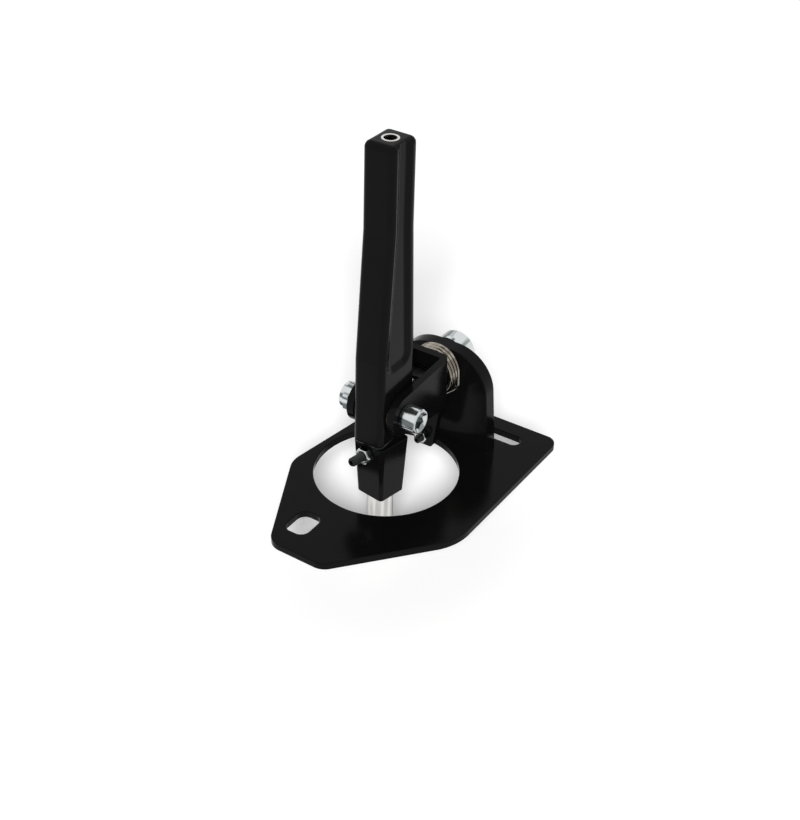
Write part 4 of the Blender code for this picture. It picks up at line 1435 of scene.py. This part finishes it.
def makeRod():
    ballTop = rod["ballDrop"] - math.sqrt(rod["ballRadius"] ** 2 - rod["topFlat"] ** 2)
    ballFoot = rod["ballDrop"] + math.sqrt(rod["ballRadius"] ** 2 - rod["footFlat"] ** 2)
    profile = [
        (0, -rod["top"]),
        (rod["topRadius"] - rod["chamfer"], -rod["top"]),
        (rod["topRadius"], -rod["top"] - rod["chamfer"]),
        (rod["topRadius"], -rod["shoulder"]),
        (rod["radius"] - rod["chamfer"], -rod["shoulder"]),
        (rod["radius"], -rod["shoulder"] - rod["chamfer"]),
        (rod["radius"], -ballTop + gap),
        (rod["pinRadius"], -ballTop + gap),
        (rod["pinRadius"], -ballFoot + rod["pinInset"]),
        (0, -ballFoot + rod["pinInset"]),
    ]
    finishPiece(turnedObject("adjusterRod", profile), "rod", "steel", ["adjuster_rod"], rodAxis)
    first = math.acos(rod["topFlat"] / rod["ballRadius"])
    last = -math.acos(rod["footFlat"] / rod["ballRadius"])
    hole = rod["pinRadius"] + gap
    profile = [(hole, -ballTop)]
    for step in range(fineness["arc"] + 1):
        angle = first + (last - first) * step / fineness["arc"]
        height = rod["ballRadius"] * math.sin(angle) - rod["ballDrop"]
        profile.append((rod["ballRadius"] * math.cos(angle), height))
    profile.append((hole, -ballFoot))
    ball = turnedObject("rodBall", profile, closed=True, soft=rod["ballSoft"])
    finishPiece(ball, "rod", "steel", ["rod_ball"], rodAxis)


makeSocket()
makeClampScrew()
makeRod()
print("socket, rod and ball made")

# Floor, backdrop and light
stage = {
    "floorDrop": 0.016,  # below the ball, which may slide down by 15 mm
    "floorHalf": 6.0,
    "floorColour": 0.92,
    "floorLift": 0.12,  # white seen, but not cast, by the floor
    "worldLight": 0.32,
    "keyStrength": 3.9,
    "keySpread": math.radians(13),
    "keyPlace": (1.00, -1.54, 1.30),
}


def seenStrength(nodes, links, cast, seen):
    # One strength where it lights things, another where it is looked at, directly or in a reflection
    rays = nodes.new("ShaderNodeLightPath")
    total = rays.outputs["Is Camera Ray"]
    for label in ("Is Glossy Ray", "Is Transmission Ray"):
        more = nodes.new("ShaderNodeMath")
        more.operation = "MAXIMUM"
        links.new(total, more.inputs[0])
        links.new(rays.outputs[label], more.inputs[1])
        total = more.outputs[0]
    return rangeNode(nodes, links, total, cast, seen, 0.0, 1.0)


def makeFloor():
    low = min(vertex[2] for vertex in cadBox)
    half = stage["floorHalf"]
    mesh = bpy.data.meshes.new("floor")
    z = low - stage["floorDrop"]
    corners = [(-half, -half, z), (half, -half, z), (half, half, z), (-half, half, z)]
    mesh.from_pydata(corners, [], [(0, 1, 2, 3)])
    floor = showObject("floor", mesh)
    material = bpy.data.materials.new("paleFloor")
    material.use_nodes = True
    nodes = material.node_tree.nodes
    links = material.node_tree.links
    nodes.clear()
    output = nodes.new("ShaderNodeOutputMaterial")
    diffuse = nodes.new("ShaderNodeBsdfDiffuse")
    diffuse.inputs["Color"].default_value = (stage["floorColour"],) * 3 + (1,)
    lift = nodes.new("ShaderNodeEmission")
    links.new(seenStrength(nodes, links, 0.0, stage["floorLift"]), lift.inputs["Strength"])
    add = nodes.new("ShaderNodeAddShader")
    links.new(diffuse.outputs[0], add.inputs[0])
    links.new(lift.outputs[0], add.inputs[1])
    links.new(add.outputs[0], output.inputs["Surface"])
    mesh.materials.append(material)


def makeWorld():
    world = bpy.data.worlds.new("paleStudio")
    world.use_nodes = True
    bpy.context.scene.world = world
    nodes = world.node_tree.nodes
    links = world.node_tree.links
    nodes.clear()
    output = nodes.new("ShaderNodeOutputWorld")
    background = nodes.new("ShaderNodeBackground")
    background.inputs["Color"].default_value = (1, 1, 1, 1)
    links.new(seenStrength(nodes, links, stage["worldLight"], 1.0), background.inputs["Strength"])
    links.new(background.outputs[0], output.inputs["Surface"])


def makeKeyLamp():
    lampData = bpy.data.lights.new("keyLamp", "SUN")
    lampData.energy = stage["keyStrength"]
    lampData.angle = stage["keySpread"]
    lamp = bpy.data.objects.new("keyLamp", lampData)
    lamp.location = stage["keyPlace"]
    lamp.rotation_euler = (-lamp.location).to_track_quat("-Z", "Y").to_euler()
    lamp.visible_glossy = False  # the metal mirrors the plain white round it
    bpy.context.scene.collection.objects.link(lamp)


makeFloor()
makeWorld()
makeKeyLamp()
bpy.context.scene.view_settings.view_transform = "Standard"
print("stage and light made")
